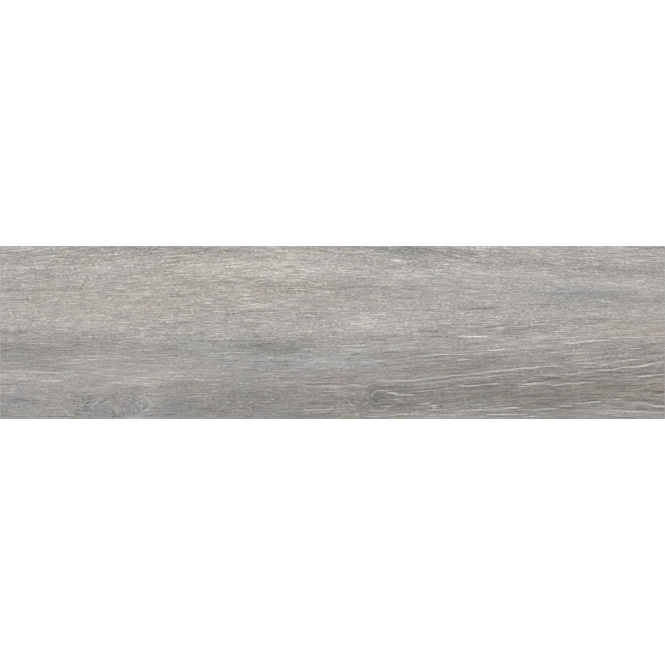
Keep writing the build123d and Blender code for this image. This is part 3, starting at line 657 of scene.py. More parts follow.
    (264, -15.2, 279, -14.3, 0.7, 22), (220, -28, 236, -27.7, 0.8, 32), (198, -30.3, 210, -29.7, 0.7, 20),
    (150, -34.5, 161, -33.8, 1, 44), (161, -33.5, 170, -32.5, 0.9, 44), (170, -32.3, 183, -32, 1.2, 46),
    (183, -31.5, 198, -30.3, 0.8, 30), (182, -38.8, 190, -38.3, 0.7, 20), (190, -38.3, 204, -38.6, 1, 44),
    (204, -37.8, 220, -37, 0.9, 32), (220, -36.5, 236, -35.7, 0.7, 22), (241, -34, 254, -33.7, 1, 46),
    (254, -33.2, 265, -31, 0.8, 34), (264, -31.1, 284, -30.2, 1.1, 46), (279, -29.6, 289, -28.2, 1.1, 44),
    (289, -27.5, 300, -26.2, 0.7, 20), (240, -29, 249, -28.8, 0.7, 26), (249, -27, 257, -26.8, 1, 18),
    (257, -26.2, 267, -25.8, 0.8, 30), (267, -24.8, 280, -24, 0.8, 26), (281, -23.2, 291, -22.2, 0.7, 16),
    (291, -21.5, 300, -21.2, 0.8, 18), (275, -39.8, 290, -38.8, 1.1, 40), (290, -38.5, 300, -37.5, 0.9, 26),
    (265, -42.3, 275, -42.3, 0.7, 16), (230, -42.2, 250, -41, 1, 16), (166, -37.8, 175, -37.8, 0.7, 18),
    (150, -39, 163, -37.5, 0.7, 16), (169, -44.2, 177, -43.8, 0.8, 24), (178, -43.2, 185, -43, 0.7, 14),
    (166, -46.2, 176, -46.8, 0.8, 24), (174, -46.8, 186, -46.2, 1.3, 44), (186, -45.8, 194, -45, 0.8, 28),
    (167, -48.8, 180, -48.7, 0.8, 32), (192, -46.8, 200, -47.8, 0.7, 22), (199, -47.8, 207, -47, 0.8, 30),
    (207, -46.3, 222, -46, 0.8, 34), (222, -45.2, 235, -45.2, 0.7, 24), (220, -57.5, 240, -57.5, 0.6, 14),
    (165, -56, 171, -56, 0.8, 14), (252, -60.3, 261, -60.3, 0.9, 22), (229, -63.2, 241, -62.6, 1.2, 44),
    (219, -64, 230, -64, 0.7, 20), (245, -63, 262, -62.6, 0.8, 9), (205, -66.5, 216, -66.5, 0.9, 26),
    (190, -68.8, 204, -68.5, 0.9, 36), (180, -69.8, 190, -69.2, 0.7, 22), (150, -68.8, 159, -68.5, 0.8, 16),
    (158, -67.8, 168, -67.8, 1.1, 38), (168, -69.5, 180, -69.7, 0.7, 16), (246, -70.3, 260, -70.5, 0.7, 22),
    (260, -71, 281, -71.5, 0.8, 32), (281, -71.8, 298, -72.2, 0.7, 20), (212, -71, 230, -70.5, 0.7, 15),
    (265, -65.8, 278, -65, 0.8, 12), (270, -64, 284, -63.5, 0.8, 18), (283, -64.5, 290, -65.2, 0.9, 24),
    (288, -66.5, 300, -66.8, 1, 42), (150, -74, 166, -74, 0.9, 32), (166, -74, 176, -74, 0.7, 24),
    (183, -73, 195, -73.2, 0.7, 15), (171, -75.8, 185, -75.7, 0.8, 22), (204, -23.3, 213, -23.3, 0.7, -18),
    (150, -22, 156, -22, 1, -16), (191, -41.3, 206, -41, 0.8, -14), (192, -42.5, 210, -42.5, 2, -10),
    (206, -48.7, 216, -48.7, 0.7, -16), (236, -36.3, 255, -36, 1, -14), (250, -36.2, 270, -36, 0.8, -14),
    (228, -32.5, 246, -31.8, 0.8, -14), (246, -8.8, 254, -8.8, 0.9, -18), (282, -10.3, 290, -10.3, 0.9, -18),
    (229, -10, 238, -9.5, 0.7, -13), (250, -20.8, 258, -20.7, 0.7, -16), (252, -18.7, 266, -18.2, 0.7, -13),
    (234, -56, 248, -56, 0.7, -16), (227, -59, 246, -58.7, 0.7, -15), (269, -60.7, 283, -61.2, 0.8, -18),
    (246, -58.8, 270, -58.5, 0.7, -12), (281, -47, 291, -46.8, 0.7, -16), (260, -47.8, 281, -47.5, 0.8, -12),
    (290, -54, 300, -53.8, 0.8, -14), (167, -66.8, 176, -66.8, 0.9, -14), (171, -68.3, 179, -68.5, 0.7, -14),
    (155, -62.2, 166, -62.2, 0.8, -13), (183, -64.5, 196, -64.5, 1.2, -11), (232, -61, 241, -61.2, 0.7, -14),
    (160, -3.5, 166, -3.5, 0.8, -15), (253, -76.8, 271, -76.7, 0.7, -15), (176, -36, 187, -36, 0.7, -14),
    (295, -28, 300, -28, 0.7, -18), (-62, -55.9, -58.2, -56, 0.6, 16),
    (-58, -62.2, -52.6, -59.2, 0.6, 18), (-63, -63.2, -57, -63, 0.6, 18),
    (117, -1, 134, 0.1, 0.5, -20), (131, 0.1, 149, 0.7, 0.5, -20), (109, -18, 118.5, -17.7, 0.5, 15),
)


def from_stretch(stretch, along, line):
    """How far along a stretch of grain and how far off it each spot is: 1 at its ends and its sides."""
    start = fibre_line(stretch.along_from, stretch.across_from)
    end = fibre_line(stretch.along_to, stretch.across_to)
    way = (along - (stretch.along_from + stretch.along_to) / 2) / ((stretch.along_to - stretch.along_from) / 2)
    off = (line - (start + end) / 2 - way * (end - start) / 2) / stretch.width
    return way, off


# Broad patches where the print leans to green, or to pink.
green_patches = (
    (-260, 74, -235, 72, 7, 1.3), (-55, 74, -45, 70, 5, 0.8), (40, 75, 95, 74, 5, 1),
    (86, 59, 96, 51, 6, 1), (110, 48, 150, 42, 6, 0.6), (180, 28, 225, 26, 8, 1),
    (205, 55, 235, 55, 5, 0.5), (-160, -6, -40, -14, 8, 1.1), (-120, -20, -30, -22, 5, 0.4),
    (10, -14, 40, -14, 6, 0.5), (-295, -22, -275, -20, 6, 1), (208, -14, 236, -24, 8, 0.6),
    (-95, -46, -70, -56, 8, 0.9), (30, -60, 60, -54, 7, 1.2), (115, -62, 140, -58, 8, 1.5),
    (-55, -70, -28, -70, 5, 1.3), (140, -71, 225, -71, 6, 1.1), (-160, -63, -140, -62, 5, 0.6),
    (-235, -20, -170, -36, 14, -0.9), (-260, -58, -240, -60, 6, -1.1), (120, 66, 175, 60, 8, -0.8),
    (210, 74, 300, 72, 5, -0.9), (250, 55, 300, 55, 9, -0.7), (10, 36, 40, 34, 12, -0.8),
    (-20, -44, 30, -42, 6, -1), (62, -18, 78, -18, 14, -0.7), (145, -36, 175, -34, 7, -0.7),
    (-290, 0, -200, 0, 6, -0.5), (270, -16, 292, -20, 6, -0.6), (60, 36, 95, 36, 8, -0.5),
)

printed_spots = [spot for spot in plank.verts if spot.co.z > shoulder - weld]
along = np.array([spot.co.x / MM for spot in printed_spots])
across = np.array([spot.co.y / MM for spot in printed_spots])
bevel_shade_mask = np.array([spot.co.z < corner.z - bevel / 2 for spot in printed_spots])
line = np.array([fibre_line(*place) for place in zip(along, across)])
shake = np.array([noise.noise(Vector((x / 6, y / 2.5, 17))) for x, y in zip(along, line)])
ground = 163.7 - 14 * soft_step((-8 - across) / 4) - 11 * soft_step((-46 - across) / 5)
# The bevel is painted 80 levels darker: painted shade, where the bevel slopes away from the lamp and the room's
# light, which also keeps the lamp from lighting it up.
ground = ground - along / 30 * soft_step((-24 - across) / 5) - 80 * bevel_shade_mask
tint = 9.1 - soft_step((-10 - across) / 8)
for band in bands:
    way, off = from_stretch(band, along, line)
    share = np.exp(-(off**2 + np.abs(way) ** 3))
    ground = ground + share * band.tone * 1.27
    tint = tint + share * band.warmth * 1.3
green = np.zeros(len(printed_spots))
for patch in green_patches:
    patch = Vein(*patch)
    way, off = from_stretch(patch, along, line)
    green = green + np.exp(-(off**2 + np.abs(way) ** 3)) * patch.tone * 1.8
limed = np.zeros(len(printed_spots))
for vein in veins:
    vein = Vein(*vein)
    way, off = from_stretch(vein, along + shake * 2, line + shake * 0.25)
    near = np.abs(way) < 1.6
    way, off = way[near], off[near]
    core = np.exp(-((off / 0.6) ** 2)) * 1.5 - np.exp(-((off / 1.6) ** 2)) * 0.4
    limed[near] += core * np.exp(-(way**4)) * vein.tone
for spot, *marks in zip(printed_spots, line, ground, tint, limed, green):
    spot[fibre_mark], spot[ground_and_bevel_shade_mark], spot[tint_mark], spot[vein_mark], spot[blush_mark] = marks
for spot in face_spots:
    spot.co.z -= relief(spot.co.x / MM, spot.co.y / MM, spot[fibre_mark]) * MM

upper_spots = [spot for spot in plank.verts if spot.co.z > shoulder - weld]
bmesh.ops.remove_doubles(plank, verts=upper_spots, dist=weld)
bmesh.ops.recalc_face_normals(plank, faces=plank.faces)
for cell in face_cells:
    cell.smooth = True

# The finish is one map over the whole plank: the face takes most of it, stretched across the grain,
# where the print is finest. The walls and the back share the strip below.
map_margin = 0.004
face_strip = (0.262, 0.996)
back_strip = (0.066, 0.25)
wall_strips = {(0, -1): (0.004, 0.016), (0, 1): (0.022, 0.034), (-1, 0): (0.04, 0.052), (1, 0): (0.04, 0.052)}
end_share = 0.48
GLAZE, BODY = 0, 1


def between(low_high, share):
    """The value at a share of the way from the low one to the high one."""
    low, high = low_high
    return low + (high - low) * share


for cell in plank.faces:
    normal = cell.normal
    cell.material_index = GLAZE if normal.z > 0.3 else BODY
    for loop in cell.loops:
        place = loop.vert.co
        along_share = place.x / corner.x / 2 + 0.5
        across_share = place.y / corner.y / 2 + 0.5
        if normal.z > 0.3:
            strip, u_share, v_share = face_strip, along_share, across_share
        elif normal.z < -0.3:
            strip, u_share, v_share = back_strip, along_share, across_share
        else:
            facing = (round(normal.x), round(normal.y))
            strip, v_share = wall_strips[facing], place.z / corner.z
            is_end = facing[0] != 0
            u_share = along_share
            if is_end:
                u_share = across_share * end_share + (1 - end_share if facing[0] > 0 else 0)
        u = between((map_margin, 1 - map_margin), u_share)
        loop[finish_map].uv = (u, between(strip, v_share))

plank_mesh = bpy.data.meshes.new("plank")
plank.to_mesh(plank_mesh)
plank.free()
piece = bpy.data.objects.new("plank", plank_mesh)
bpy.context.collection.objects.link(piece)
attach(piece, "root")
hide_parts("tile")


# The print is ceramic ink under a matt glaze, laid on the face and over its bevel before firing. Its
# tones are levels from 0 to 255 as on a screen, and its warmth is how far red stands above blue.
class Reading:
    """A socket of a material. Arithmetic on it adds Math nodes to the same material."""

    def __init__(self, socket):
        self.socket = socket

    def node(self, kind, settings, sockets, output=0):
        """Another node of the material: its settings, then the values or links of its sockets."""
        tree = self.socket.id_data
        node = tree.nodes.new(kind)
        for name, setting in settings.items():
            setattr(node, name, setting)
        for key, value in sockets.items():
            if isinstance(value, Reading):
                tree.links.new(value.socket, node.inputs[key])
            else:
                node.inputs[key].default_value = value
        return Reading(node.outputs[output]) if node.outputs else None

    def output(self, name):
        """Another output of the same node."""
        return Reading(self.socket.node.outputs[name])

    def math(self, operation, *operands):
        return self.node("ShaderNodeMath", {"operation": operation}, dict(enumerate(operands)))

    def __add__(self, other):
        return self.math("ADD", self, other)

    def __sub__(self, other):
        return self.math("SUBTRACT", self, other)

    def __rsub__(self, other):
        return self.math("SUBTRACT", other, self)

    def __mul__(self, other):
        return self.math("MULTIPLY", self, other)

    def __truediv__(self, other):
        return self.math("DIVIDE", self, other)

    def __rtruediv__(self, other):
        return self.math("DIVIDE", other, self)

    def __pow__(self, other):
        return self.math("POWER", self, other)

    def __rpow__(self, other):
        return self.math("POWER", other, self)

    def __neg__(self):
        return self.math("MULTIPLY", self, -1)

    __radd__ = __add__
    __rmul__ = __mul__


def new_finish(name):
    """A new material, with its shader and the place on the plank, in millimetres, that it reads."""
    finish = bpy.data.materials.new(name)
    finish.use_nodes = True
    nodes = finish.node_tree.nodes
    place = Reading(nodes.new("ShaderNodeTexCoord").outputs["Object"])
    along = place.node("ShaderNodeSeparateXYZ", {}, {"Vector": place}, "X")
    sides = [side / MM for side in (along, along.output("Y"), along.output("Z"))]
    return finish, nodes["Principled BSDF"], sides


def fleck(along, across, length, width, detail, seed):
    """Even noise drawn out to this length and width, about -0.5 to 0.5. It leans, so that no two lines end level."""
    lean = length / (length + 40)
    sides = {"X": along / length + across / width * lean, "Y": across / width, "Z": seed}
    spot = along.node("ShaderNodeCombineXYZ", {}, sides)
    settings = {"noise_dimensions": "3D"}
    return along.node("ShaderNodeTexNoise", settings, {"Vector": spot, "Scale": 1, "Detail": detail}, "Fac") - 0.5


def over(value, low, high):
    """0 where the value is under the low mark, 1 over the high one, and soft between them."""
    settings = {"interpolation_type": "SMOOTHSTEP"}
    return value.node("ShaderNodeMapRange", settings, {"Value": value, "From Min": low, "From Max": high})


# The knots, in short strokes of their rings, rays and cracks.
knot_strokes = (
    (-217.6, -68.8, -216.7, -66.4, 0.8, 22), (-216.7, -66.4, -214.4, -64, 0.6, 15),
    (-214.4, -64, -209.8, -62.5, 0.6, 15), (-206.5, -64, -205.2, -63.8, 0.6, 24),
    (-204.4, -62.4, -200.8, -62, 0.6, 18), (-213.6, -57.8, -209.4, -57.7, 0.5, 12),
    (-213.6, -56.8, -211.4, -56.8, 0.5, -12), (-213.6, -58.7, -211.4, -58.7, 0.5, -10),
    (-225.6, -64.3, -221.5, -61.8, 0.6, 13), (-221.5, -61.8, -215, -60.9, 0.6, 11),
    (-215, -60.9, -208, -59.5, 0.6, 9), (-211.2, -63.6, -206.5, -61.9, 0.7, -17),
    (-206.5, -61.2, -201.8, -60.9, 0.5, -13), (-227.9, -61.3, -224.7, -61.3, 0.5, 24),
    (-228.2, -60.3, -224.4, -60.3, 0.5, -15), (-224.2, -61.2, -222.6, -61.4, 0.5, -10),
    (-220.2, -62.5, -223, -64.9, 0.9, -16), (-222.8, -65.2, -221.8, -67, 0.9, -14),
    (-223.8, -67.9, -222.6, -68.9, 0.9, -10), (-239.6, -67.1, -238.9, -68.9, 0.8, -15),
    (-237.7, -70, -236.8, -70.8, 0.7, -12), (-235.8, -68.5, -234.6, -68.6, 0.6, -10),
    (-242, -70.9, -238.8, -73.3, 0.6, 13), (-242, -73.1, -239.7, -75.2, 0.6, -16),
    (-238.9, -74.8, -234, -74.8, 0.5, 14), (-230.4, -73.9, -227.8, -73.9, 0.5, -8),
    (-240.6, -57.8, -236.6, -57.8, 0.7, 18), (-219.6, -70.8, -219.6, -73.6, 0.5, 12),
    (-217.5, -70, -217.5, -72.2, 0.5, -14), (-216.1, -71, -216, -74.2, 0.5, 11),
    (-213.9, -72.2, -213.9, -75, 0.5, -10), (-210.9, -67.4, -208.2, -67.7, 0.9, 9),
    (-206.1, -66.4, -206, -71.6, 0.7, -11), (-205, -69.4, -203.4, -69.6, 0.9, 10),
    (-202.2, -70.8, -200.8, -71.2, 0.9, 10), (-220.8, -75.8, -219.6, -73.9, 0.6, -8),
    (-184.6, -60.2, -181, -60.6, 0.5, 15), (-181, -60.6, -178.8, -61.7, 0.5, 17),
    (-184.5, -61.9, -183.8, -63.2, 0.6, 12), (-178, -62.7, -176.1, -64, 0.5, 17),
    (-176.1, -64, -175, -65.6, 0.5, 17), (-184.5, -58.6, -180, -59.3, 0.5, -15),
    (-180, -59.7, -177.4, -61.6, 0.5, -15), (-177.6, -61.4, -175.8, -62.6, 0.5, -12),
    (-183, -61.9, -180.6, -62.5, 0.5, -16), (-180.6, -62.5, -178.6, -63.4, 0.5, -18),
    (-177.3, -64.6, -176.8, -65.8, 0.5, -14), (-182.2, -57.7, -179.8, -57.8, 0.5, 11),
    (-177.8, -58.9, -174.2, -60.7, 0.5, 12), (-174.2, -61, -171.6, -62.8, 0.5, 13),
    (-174.2, -63.6, -172.4, -64.2, 0.6, -15), (-172.9, -65.6, -171.7, -66.6, 0.7, 11),
    (-176, -56.7, -171.2, -57.7, 0.7, 15), (-175.8, -55.5, -173, -55.7, 0.7, -13),
    (-170, -58.3, -165.6, -60, 0.7, 11), (-166.4, -61, -164.2, -63.2, 0.7, 10),
    (-166.7, -63.2, -168.2, -66.2, 0.6, -20), (-168, -66.2, -169.2, -68.2, 0.6, -20),
    (-169.3, -68.3, -170.8, -69.2, 0.6, -13), (-165.2, -69.3, -170.3, -70.9, 0.9, 14),
    (-170.3, -70.9, -176.8, -75, 0.6, 13), (-166.8, -73.1, -163, -73, 0.5, 26),
    (-166.9, -71.9, -163.4, -71.9, 0.6, -15), (-198.2, -70.4, -192.1, -70.4, 0.5, 15),
    (-199.4, -71.4, -195, -71.3, 0.5, -14), (-195.2, -72.2, -192, -72.1, 0.5, 15),
    (-197.5, -68.6, -192.5, -67.7, 1.2, 8), (-191.2, -68.5, -189.3, -68.6, 0.5, 15),
    (-187.8, -68.6, -187.6, -71.2, 0.5, 18), (-189, -72, -188.4, -74.4, 0.5, -13),
    (-187, -72.6, -186.6, -75.4, 0.5, 9), (-199.4, -76.6, -195.5, -75.2, 1, -16),
    (-195.5, -75.2, -191, -75.8, 1, -12), (-178.3, -69, -176.9, -71, 0.6, 12),
    (-183.4, -68.4, -182.9, -71, 0.5, -13), (-181.6, -69.2, -180.6, -70.8, 0.7, 10),
    (-184.3, -64, -183.8, -65.2, 0.6, -12), (-173.8, -70.8, -172.5, -71.2, 0.6, -12),
    (-180.2, -71.8, -179.8, -72.8, 0.6, -8), (-191.5, -59.5, -188.6, -59.6, 0.6, 11),
    (-198.8, -59.2, -195.6, -59, 0.8, -6), (-197.4, -56.3, -195.6, -56.8, 0.8, -9),
    (-191.9, -55.5, -190.6, -57, 0.6, -9), (-161.2, -68.4, -159.4, -68.5, 0.8, -10),
    (-160.6, -59.4, -158.6, -59.6, 0.8, -10), (-164.8, -65.6, -161.2, -64.4, 2.4, 6),
    (-184.5, -77.3, -176, -77.3, 0.8, 6), (-170.2, -49.8, -168.4, -48.6, 0.5, -18),
    (-168.4, -48.6, -166.2, -49.8, 0.5, -15), (-166.2, -49.8, -163.6, -47.2, 0.5, -13),
    (-170, -48.4, -168, -47.2, 0.5, 14), (-168, -47.2, -165.8, -48.7, 0.5, 13),
    (-165.8, -48.7, -163.4, -47.4, 0.5, 10), (35.2, -58, 35.7, -55.6, 0.5, 20),
    (35.7, -55.6, 38.4, -53.3, 0.5, 19), (38.4, -53.3, 42, -52.5, 0.5, 15), (42, -52.5, 46.5, -52.4, 0.5, 18),
    (46.5, -52.6, 52, -53.8, 0.5, 11), (28.6, -51.8, 27.5, -55.6, 0.8, 15),
    (29.3, -50.2, 32.5, -48.4, 0.7, 8), (31.4, -58, 32.4, -61.8, 0.6, 18), (32.4, -61.8, 31.2, -64, 0.6, 22),
    (31.2, -64, 27.6, -65.9, 0.6, 18), (14.4, -63.6, 17.2, -65, 0.6, 18), (18.6, -65.8, 21.6, -65.9, 0.5, 26),
    (12.4, -65.9, 16.4, -66, 0.5, -18), (18.4, -64.8, 22, -64.8, 0.5, -16),
    (18.4, -66.8, 22, -66.8, 0.5, -12), (12, -63.2, 14.2, -63.4, 0.5, -12), (19.5, -62, 23, -62.4, 0.5, 10),
    (19, -63.8, 24.2, -64, 0.5, 11), (34.5, -64.2, 45.5, -63.8, 0.5, 14), (34.6, -65.2, 34.5, -67.8, 0.6, 15),
    (34.5, -67.8, 38, -70, 0.6, 14), (46.7, -69.9, 50.8, -67.1, 0.6, 20), (57.9, -60.2, 61, -60.5, 0.6, 14),
    (20.2, -73.9, 23.2, -74.1, 0.6, 26), (33.5, -57.5, 33.9, -54.8, 0.5, -10),
    (33.9, -54.8, 37, -51.9, 0.5, -12), (37, -56.5, 44, -54.9, 1.6, -8), (36.7, -47.4, 41, -46.9, 0.6, -12),
    (31.8, -50.3, 36.4, -47.4, 0.6, -12), (30.2, -57.2, 30.6, -60.4, 0.6, -10),
    (16, -58.6, 18.6, -60.4, 0.6, -8), (37.8, -62, 40, -62, 0.8, -16), (91, -65.7, 91.8, -70, 1.1, 16),
    (95.4, -66.4, 100, -66.4, 0.7, -12), (83, -64.9, 88.5, -64.4, 0.8, 8),
    (-75.6, -63.1, -71.6, -62.5, 0.7, 16), (-71.2, -62, -70.2, -58.8, 0.7, 13),
    (-77, -65.3, -70, -64.7, 0.7, -10), (-75.6, -68, -73, -69, 0.7, 12), (-55.9, -56.6, -54.8, -57, 0.6, 12),
    (-52.1, -59.1, -55.4, -61.4, 0.6, 8), (-53.8, -57.6, -52.4, -58.2, 0.7, -16),
    (-60.5, -63.3, -57.3, -63.3, 0.5, 12), (-77.8, -59, -77.6, -60.5, 0.6, 20),
    (-95, -63.3, -92.3, -63, 0.6, 16), (-83.4, -66.5, -81.8, -66.8, 0.6, 16),
    (-51.2, -59.5, -48.9, -59.3, 0.7, -18), (-76.9, -57.4, -76.8, -58.4, 0.5, -18),
    (-93.2, -64, -90.9, -64, 0.5, -14), (-74, -68.1, -69.4, -67.7, 0.7, -10),
    (-87, -62.6, -82, -63.4, 0.9, 11), (-86.6, -59.5, -83.8, -59.5, 0.6, 12),
    (-87, -56.4, -86.4, -57.8, 0.9, 9), (-79.4, -60, -78.6, -60.6, 0.6, -12),
    (-100.8, -68, -97, -67.4, 0.7, 14), (-90.6, -67.5, -87.8, -67.5, 0.6, 10),
)

print_glaze, glaze_shader, (along, across, _) = new_finish("printed_matt_glaze")
fibre = along.node("ShaderNodeAttribute", {"attribute_name": "fibre"}, {}, "Fac")

stroke_sockets = (
    "So Far", "Along", "Across", "Middle Along", "Middle Across",
    "Run Along", "Run Across", "Off Along", "Off Across", "Tone",
)
stroke_tree = bpy.data.node_groups.new("stroke_of_a_knot", "ShaderNodeTree")
for name in stroke_sockets:
    stroke_tree.interface.new_socket(name, in_out="INPUT", socket_type="NodeSocketFloat")
stroke_tree.interface.new_socket("Total", in_out="OUTPUT", socket_type="NodeSocketFloat")
stroke_inputs = stroke_tree.nodes.new("NodeGroupInput").outputs
so_far, at_along, at_across, *stroke_values, stroke_tone = map(Reading, stroke_inputs[: len(stroke_sockets)])
middle_along, middle_across, run_along, run_across, off_along, off_across = stroke_values
away_along = at_along - middle_along
away_across = at_across - middle_across
run = away_along * run_along + away_across * run_across
off = away_along * off_along + away_across * off_across
run_squared = run * run
total = so_far + math.e ** -(off * off + run_squared * run_squared) * stroke_tone
total.node("NodeGroupOutput", {}, {"Total": total})


def add_stroke(so_far, stroke, along, across):
    """The tones so far, with one more straight stroke that fades beyond its ends and its width."""
    start = Vector((stroke.along_from, stroke.across_from))
    end = Vector((stroke.along_to, stroke.across_to))
    middle = (start + end) / 2
    half = (end - start) / 2
    run = half / half.length_squared
    off = half.orthogonal().normalized() / stroke.width
    values = (so_far, along, across, *middle, *run, *off, stroke.tone)
    return along.node("ShaderNodeGroup", {"node_tree": stroke_tree}, dict(zip(stroke_sockets, values)))


# The ground tone read here also holds the painted shade on the bevel.
tone = along.node("ShaderNodeAttribute", {"attribute_name": "ground"}, {}, "Fac")
warmth = along.node("ShaderNodeAttribute", {"attribute_name": "tint"}, {}, "Fac")

limed_side = soft_step((-15 - fibre) / 3) * soft_step((along - 5) / 25)
still_side = soft_step((-8 - across) / 5) * (1 - soft_step((along + 5) / 25))
drawn_veins = along.node("ShaderNodeAttribute", {"attribute_name": "veins"}, {}, "Fac")
drawn_veins = drawn_veins * (2.1 + limed_side * 0.25 + fleck(along, fibre, 7, 2.5, 1, 4.0))
drawn_veins = drawn_veins.math("SMOOTH_MIN", drawn_veins, 27 + limed_side * 22, 20)
drawn_veins = drawn_veins.math("SMOOTH_MAX", drawn_veins, -25, 16)

wobble = fleck(along, across, 4, 3, 1, 14.0) * 0.8
rings = wobble * 0
for stroke in knot_strokes:
    rings = add_stroke(rings, Vein(*stroke), along + wobble, across + wobble)
rings = rings * 1.9

knotty = 0
for knot in knots:
    away_along = (along - knot.along) / knot.length / 1.3
    away_across = (across - knot.across) / knot.width / 1.3
    reach = away_along * away_along + away_across * away_across
    near = math.e ** -(reach * reach)
    knotty = knotty + near
    tone = tone + near * knot.tone
    warmth = warmth + near * knot.warmth

right_side = soft_step((along - 110) / 25) * soft_step((across + 25) / 6) * soft_step((32 - across) / 6)
lively = 1.13 - still_side * 0.32 + right_side * 0.4
short = (1 - still_side * 0.15 - limed_side * 0.4) * (1 - knotty * 0.3) * lively
streaks = fleck(along, fibre, 60, 3.6, 1, 6.0) * 21
fibres = fleck(along, fibre, 30, 0.95, 1, 7.0) * 84 * (1 - still_side * 0.3 - limed_side * 0.4) * lively
threads = fleck(along, fibre, 45, 0.8, 1, 5.0) * (26 + limed_side * 48) * lively
dashes = fleck(along, fibre, 10, 0.85, 0, 8.0) * 68 * short
grit = fleck(along, fibre, 2.8, 0.8, 0, 9.0) * 88 * short
limed_pores = over(fleck(along, fibre, 16, 0.9, 1, 10.0), 0.12, 0.24) * 28 * short
limed_threads = over(fleck(along, fibre, 36, 0.8, 1, 15.0), 0.13, 0.23) * 18 * limed_side
fibres = (fibres + threads + dashes) * (1 - knotty * 0.6)
weave = streaks + fibres + grit + limed_pores + limed_threads
tone = tone + drawn_veins + rings + weave.math("SMOOTH_MAX", weave, -24, 14)
mottled = 0.55 + soft_step((-25 - across) / 6) * 0.2
warmth = warmth + fleck(along, fibre, 18, 9, 1, 12.0) * 20 * mottled
blush = along.node("ShaderNodeAttribute", {"attribute_name": "blush"}, {}, "Fac")
blush = blush + fleck(along, fibre, 16, 8, 1, 13.0) * 9 * (0.5 + mottled * 0.5)


def pigment(level):
    """The light that comes back from a level of 0 to 255."""
    return ((level / 255 + 0.055) / 1.055) ** 2.4


printed = tone.node(
    "ShaderNodeCombineColor",
    {"mode": "RGB"},
    {
        "Red": pigment(tone + warmth * 0.49),
        "Green": pigment(tone + warmth * 0.03 + blush),
        "Blue": pigment(tone - warmth * 0.51),
    },
)
glaze_shader.inputs["Specular IOR Level"].default_value = 0.3
glaze_roughness = 0.58 + fibres * 0.002 - limed_pores * 0.004
open_pores = (fibres + limed_pores) * 0.01
ridges = tone.node(
    "ShaderNodeBump", {}, {"Strength": 0.25, "Distance": 0.0002, "Height": open_pores}
)
tree = print_glaze.node_tree
tree.links.new(printed.socket, glaze_shader.inputs["Base Color"])
tree.links.new(glaze_roughness.socket, glaze_shader.inputs["Roughness"])
tree.links.new(ridges.socket, glaze_shader.inputs["Normal"])
plank_mesh.materials.append(print_glaze)

# The bare body shows on the ground walls and on the back: pale grey porcelain with fine specks, wheel
# marks along the walls, and a dusting of white kiln wash on the ribs that stood on the rollers.
bare_body, body_shader, (along, across, height) = new_finish("bare_porcelain")
mottle = fleck(along, across, 22, 22, 3, 12.0)
speck = over(fleck(along + height * 3, across + height * 5, 0.9, 0.9, 1, 13.0), 0.16, 0.2)
wheel_marks = fleck(along + across, height, 40, 0.35, 2, 14.0)
washed = over(-height, -0.25, -0.02) * over(fleck(along, across, 9, 9, 3, 15.0), -0.2, 0.15)
body_tone = 176 + mottle * 16 + wheel_marks * 14 - speck * 26 + washed * 26
body_colour = body_tone.node(
    "ShaderNodeCombineColor",
    {"mode": "RGB"},
    {
        "Red": pigment(body_tone + 5),
        "Green": pigment(body_tone),
        "Blue": pigment(body_tone - 8 + washed * 5),
    },
)
body_shader.inputs["Specular IOR Level"].default_value = 0.25
body_roughness = 0.8 + mottle * 0.1 + washed * 0.1
grain_bump = body_tone.node(
    "ShaderNodeBump", {}, {"Strength": 0.3, "Distance": 0.0002, "Height": wheel_marks + mottle + speck}
)
tree = bare_body.node_tree
tree.links.new(body_colour.socket, body_shader.inputs["Base Color"])
tree.links.new(body_roughness.socket, body_shader.inputs["Roughness"])
tree.links.new(grain_bump.socket, body_shader.inputs["Normal"])
plank_mesh.materials.append(bare_body)

# The floor is a plain pale sheet. The camera sees it as white, and it still keeps the plank's shadow.
floor_size = 8.0
floor_sheet = bmesh.new()
bmesh.ops.create_grid(floor_sheet, x_segments=1, y_segments=1, size=floor_size / 2)
floor_mesh = bpy.data.meshes.new("floor")
floor_sheet.to_mesh(floor_mesh)
floor_sheet.free()
floor = bpy.data.objects.new("floor", floor_mesh)
bpy.context.collection.objects.link(floor)

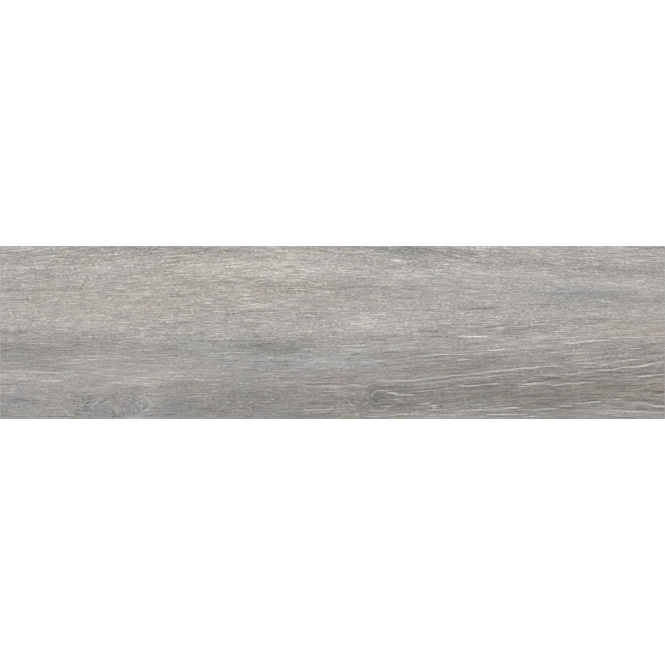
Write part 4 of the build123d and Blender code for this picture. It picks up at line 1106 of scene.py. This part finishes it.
floor_paint = bpy.data.materials.new("pale_floor")
floor_paint.use_nodes = True
floor_nodes = floor_paint.node_tree.nodes
floor_shader = floor_nodes["Principled BSDF"]
floor_shader.inputs["Base Color"].default_value = (0.8, 0.8, 0.8, 1)
floor_shader.inputs["Roughness"].default_value = 0.9
floor_shader.inputs["Specular IOR Level"].default_value = 0
camera_ray = Reading(floor_nodes.new("ShaderNodeLightPath").outputs["Is Camera Ray"])
seen = camera_ray + camera_ray.output("Is Glossy Ray") + camera_ray.output("Is Transmission Ray")
floor_shader.inputs["Emission Color"].default_value = (1, 1, 1, 1)
floor_paint.node_tree.links.new((seen * 0.55).socket, floor_shader.inputs["Emission Strength"])
floor_mesh.materials.append(floor_paint)

# The light is a white room and one wide soft lamp, high up on the left.
scene = bpy.context.scene
room_level = 0.52
room = bpy.data.worlds.new("white_room")
room.use_nodes = True
room_nodes = room.node_tree.nodes
sky_ray = Reading(room_nodes.new("ShaderNodeLightPath").outputs["Is Camera Ray"])
sky_seen = sky_ray + sky_ray.output("Is Glossy Ray") + sky_ray.output("Is Transmission Ray")
room_nodes["Background"].inputs["Color"].default_value = (1, 1, 1, 1)
room_strength = room_level + sky_seen * (1 - room_level)
room.node_tree.links.new(room_strength.socket, room_nodes["Background"].inputs["Strength"])
scene.world = room

lamp_data = bpy.data.lights.new("soft_lamp", "AREA")
lamp_data.shape = "DISK"
lamp_data.size = 2.4
lamp_data.energy = 34
lamp = bpy.data.objects.new("soft_lamp", lamp_data)
lamp.location = (-0.35, 0.3, 2.4)
lamp.rotation_euler = (-lamp.location).to_track_quat("-Z", "Y").to_euler()
bpy.context.collection.objects.link(lamp)

# The camera looks straight down from far off, with the plank's length filling the picture's width.
camera_data = bpy.data.cameras.new("camera")
camera_data.sensor_width = 36
camera_data.lens = 120
reach = 2 * corner.x * camera_data.lens / camera_data.sensor_width
camera = bpy.data.objects.new("camera", camera_data)
camera.location = (0, 0, shoulder + reach)
bpy.context.collection.objects.link(camera)
scene.camera = camera
scene.view_settings.view_transform = "Standard"
